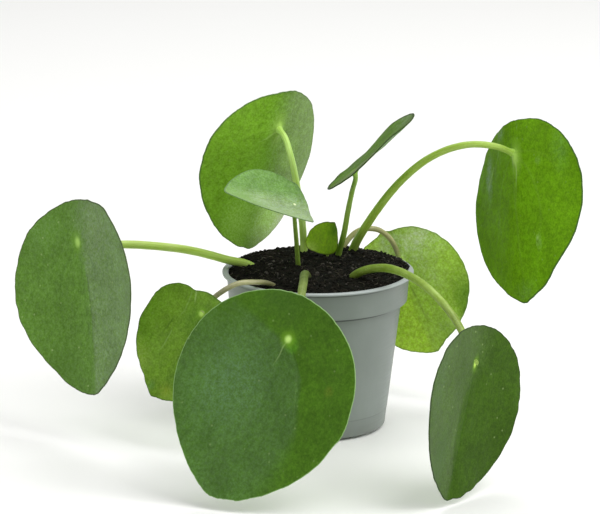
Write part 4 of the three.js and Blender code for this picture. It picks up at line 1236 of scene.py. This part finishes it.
def lip_drift(points):
    """Points and faces of the thin drift of peat that lies on the rear of the lip, and the
    faces of its top."""
    edge, rest, step = SOIL_EDGE, POT.height + 0.04, 360 / SOIL.spokes
    degrees = np.arange(1, 153, step)
    ends = np.minimum(smoothstep(1, 9, degrees), smoothstep(152.5, 140, degrees))
    rise = smoothstep(18, 34, degrees)
    soil = np.interp(degrees, np.arange(SOIL.spokes) * step, points[-SOIL.spokes:, 2])
    unevenness = rough(np.column_stack([degrees * 0.75, degrees * 0, degrees * 0]), 1.6, 91)
    sections, faces, tops = [], [], []
    for turn, end, rises, height, bump in zip(np.radians(degrees), ends, rise, soil, unevenness):
        outer = edge + 0.8 + (1.4 + 0.25 * bump) * end
        section = ((edge - 0.3, height - 0.6), (edge + 0.15, rest), (outer - 0.1, rest),
                   (outer, rest + 0.05 + 0.12 * end),
                   (edge + 0.6 + 0.8 * end, rest + 0.1 + (0.1 + 0.3 * rises + 0.1 * bump) * end),
                   (edge + 0.5, max(height, rest + 0.05) + (0.1 + 0.25 * rises + 0.15 * bump) * end),
                   (edge - 0.5, height + 0.05))
        sections += [(r * math.cos(turn), r * math.sin(turn), z) for r, z in section]
    size = len(section)
    for a in range(0, len(sections) - size, size):
        ring = ring_faces(a, a + size, size)
        faces += ring
        if degrees[a // size] > 7:
            tops += ring[3:6]
    faces.append(tuple(range(size)))
    faces.append(tuple(range(len(sections) - size, len(sections)))[::-1])
    return sections, faces, tops


def whole_soil(points, faces):
    """Points and faces of all the soil: its top, its tapered side and its floor."""
    floor, inset, spokes = FLOOR_TOP + SOIL.clearance, POT.wall + SOIL.clearance, SOIL.spokes
    shoulder = LEDGE + SOIL.clearance
    side = [(POT.band_foot - inset - 0.1, shoulder), (POT.wall_top - inset, shoulder - 0.6)]
    side += [(wall_radius(height) - inset, height) for height in (40, 20, floor + 1.2)]
    side.append((POT.wall_foot - inset - 1.2, floor))
    whole, whole_faces = list(map(tuple, points)), list(faces)
    for radius, height in side:
        start = len(whole)
        whole += ring_points(radius, height, around(spokes))
        whole_faces += ring_faces(start - spokes, start, spokes)
    start = len(whole) - spokes
    whole.append((0, 0, floor))
    whole_faces += [(start + (k + 1) % spokes, start + k, start + spokes) for k in range(spokes)]
    return whole, whole_faces


class MONEYPLANT_PG_soil(bpy.types.PropertyGroup):
    relief: size_property("Relief", "Height of the soil's own bumps", 0.9)
    wet: color_property("Wet", "Colour of moist peat", "0F100B")
    dry: color_property("Dry", "Colour of drier peat", "25211A")
    crumb: color_property("Crumb", "Colour of the few pale crumbs", "5E5A54")
    seed: count_property("Seed", "Seed of the scattered crumbs and fibres", 5, 0)


class MONEYPLANT_OT_soil(bpy.types.Operator):
    """Fills the pot with peat and scatters crumbs and fibres over it"""
    bl_idname = "money_plant.soil"
    bl_label = "Soil"

    def execute(self, context):
        settings = context.scene.money_plant_soil
        peat, crumbs = moist_peat(settings), crumb_tree()
        points, faces = soil_surface(settings)
        drift, drift_faces, drift_tops = lip_drift(points)
        settle(mesh_object("soil_drift", drift, drift_faces, peat), "peat_soil")
        sown = np.concatenate([points, drift])
        sown_faces = faces + [tuple(len(points) + i for i in face) for face in drift_tops]
        scattered = (
            ("soil_crumbs", crumbs, peat, {
                "Per area": 650000.0, "Smallest": 0.28 * MM, "Largest": 1.0 * MM, "Detail": 1}),
            ("soil_lumps", crumbs, peat, {
                "Per area": 90000.0, "Smallest": 0.6 * MM, "Largest": 1.6 * MM, "Detail": 2}),
            ("soil_fibres", fibre_tree(), plant_fibre(), {
                "Per area": 60000.0, "Length": 2.6 * MM, "Thickness": 0.12 * MM}),
        )
        for seed, (name, tree, material, values) in enumerate(scattered, settings.seed):
            piece = mesh_object(name, sown, sown_faces)
            grow(piece, tree, {**values, "Seed": seed, "Material": material})
            settle(piece, "peat_soil")
        body = mesh_object("soil_body", *whole_soil(points, faces), peat)
        settle(body, "peat_soil", "soil")
        return {"FINISHED"}


def root_bark():
    """Bark of a short woody rootstock: brown cork with lengthwise cracks and leaf scars."""
    material, nodes = new_material("Rootstock bark")
    cracks = nodes.noise(nodes.place((1, 1, 0.3)), 0.7, 6, 0.7)
    nodes.surface(nodes.mix(cracks, "3A2614", "8A6E4A"), 0.9, nodes.bump(cracks, 0.8, 0.5))
    return material


class MONEYPLANT_OT_rootstock(bpy.types.Operator):
    """Shapes the short rootstock under the soil that the stems grow from"""
    bl_idname = "money_plant.rootstock"
    bl_label = "Rootstock"

    def execute(self, context):
        heights = np.linspace(ROOT.foot, ROOT.top, 46)
        radii = np.interp(heights, (ROOT.foot, ROOT.belly, ROOT.top),
                          (ROOT.tail, ROOT.waist, ROOT.shoulder))
        scars = 0.25 * np.cos((heights - ROOT.foot) * 2 * math.pi / 2.7)
        profile = [(0, ROOT.foot), *zip(np.maximum(radii - 0.3 + scars, 0.5), heights),
                   (ROOT.shoulder - 1.6, ROOT.top + 1.2), (0, ROOT.top + 1.6)]
        points, faces = lathe(profile, 48)
        points = np.array(points)
        knots = rough(points, 3.5, 77)
        points[:, :2] *= 1 + 0.05 * knots[:, None]
        points += np.array([ROOT.x, ROOT.y, 0])
        body = mesh_object("rootstock_body", points, faces, root_bark())
        settle(body, "root_bark", "rootstock")
        return {"FINISHED"}


# Stage

AIM = Vector((0, 0, 0.08))
LIGHTS = (
    ("Key softbox", (0.894, -0.516, 1.554), 1.0, 17.0),
    ("Right softbox", (1.6, -0.5, 0.75), 0.9, 12.0),
    ("Rear softbox", (0, 1.03, 1.55), 1.0, 10.5),
    ("Front fill", (-0.83, -1.44, 0.75), 0.9, 4.5),
    ("Left fill", (-1.67, 0, 0.75), 0.9, 3.5),
    ("Top softbox", (0, 0, 1.88), 0.9, 5.0),
)
CAMERA_PLACE = (-8.455, -1742.604, 525.471)


class MONEYPLANT_PG_stage(bpy.types.PropertyGroup):
    focal_length: value_property(
        "Focal length", "The camera's focal length in millimetres", 229.92)
    pitch: value_property("Pitch", "How far the camera looks down", math.radians(14.3),
                          subtype="ANGLE")
    floor_size: size_property("Floor", "Side of the floor", 9000)
    room: value_property("Room light", "Strength of the even light of the room", 0.36)


class MONEYPLANT_OT_stage(bpy.types.Operator):
    """Sets the pale floor, the soft studio light and the camera"""
    bl_idname = "money_plant.stage"
    bl_label = "Stage"

    def execute(self, context):
        settings = context.scene.money_plant_stage
        scene = context.scene
        material, nodes = new_material("Pale matt board")
        tooth = nodes.noise(nodes.place(), 0.9)
        nodes.surface("F4F4F2", 0.8, nodes.bump(tooth, 0.05, 0.2), Specular_IOR_Level=0.1)
        half = settings.floor_size / 2 / MM
        corners = [(-half, -half, 0), (half, -half, 0), (half, half, 0), (-half, half, 0)]
        mesh_object("floor", corners, [(0, 1, 2, 3)], material, smooth=False)

        for name, place, size, power in LIGHTS:
            data = bpy.data.lights.new(name, "AREA")
            data.shape = "SQUARE"
            data.size = size
            data.energy = power
            light = bpy.data.objects.new(name, data)
            scene.collection.objects.link(light)
            light.location = place
            light.rotation_euler = (AIM - Vector(place)).to_track_quat("-Z", "Y").to_euler()

        scene.world = bpy.data.worlds.new("Studio")
        scene.world.use_nodes = True
        nodes = Nodes(scene.world.node_tree)
        nodes.tree.nodes.clear()
        air = nodes.add("ShaderNodeBackground", {"Color": (1, 1, 1), "Strength": settings.room})
        nodes.add("ShaderNodeOutputWorld", {"Surface": air})

        data = bpy.data.cameras.new("Camera")
        data.lens = settings.focal_length
        data.sensor_width = 36
        data.clip_end = 20
        camera = bpy.data.objects.new("Camera", data)
        scene.collection.objects.link(camera)
        camera.location = np.array(CAMERA_PLACE) * MM
        camera.rotation_euler = (math.pi / 2 - settings.pitch, 0, 0)
        scene.camera = camera
        scene.view_settings.view_transform = "Standard"
        return {"FINISHED"}


class MONEYPLANT_PT_sidebar(bpy.types.Panel):
    bl_idname = "MONEYPLANT_PT_sidebar"
    bl_label = "Money Plant"
    bl_space_type = "VIEW_3D"
    bl_region_type = "UI"
    bl_category = "Plant"

    def draw(self, context):
        for group in GROUPS:
            box = self.layout.box()
            settings = getattr(context.scene, group)
            for key in settings.__annotations__:
                box.prop(settings, key)
        for operator in OPERATORS:
            self.layout.operator(operator.bl_idname)


OPERATORS = (
    MONEYPLANT_OT_stage, MONEYPLANT_OT_pot, MONEYPLANT_OT_soil, MONEYPLANT_OT_rootstock,
    MONEYPLANT_OT_stems, MONEYPLANT_OT_leaves,
)
GROUPS = {
    "money_plant_pot": MONEYPLANT_PG_pot, "money_plant_leaves": MONEYPLANT_PG_leaves,
    "money_plant_stems": MONEYPLANT_PG_stems, "money_plant_soil": MONEYPLANT_PG_soil,
    "money_plant_stage": MONEYPLANT_PG_stage,
}


def register():
    for cls in (*GROUPS.values(), *OPERATORS, MONEYPLANT_PT_sidebar):
        bpy.utils.register_class(cls)
    for name, group in GROUPS.items():
        setattr(bpy.types.Scene, name, bpy.props.PointerProperty(type=group))


def unregister():
    for name in GROUPS:
        delattr(bpy.types.Scene, name)
    for cls in reversed((*GROUPS.values(), *OPERATORS, MONEYPLANT_PT_sidebar)):
        bpy.utils.unregister_class(cls)


def main():
    register()
    bpy.ops.money_plant.stage()
    bpy.ops.money_plant.pot()
    bpy.ops.money_plant.soil()
    bpy.ops.money_plant.rootstock()
    bpy.ops.money_plant.stems()
    bpy.ops.money_plant.leaves()
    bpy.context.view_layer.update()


if __name__ == "__main__":
    main()
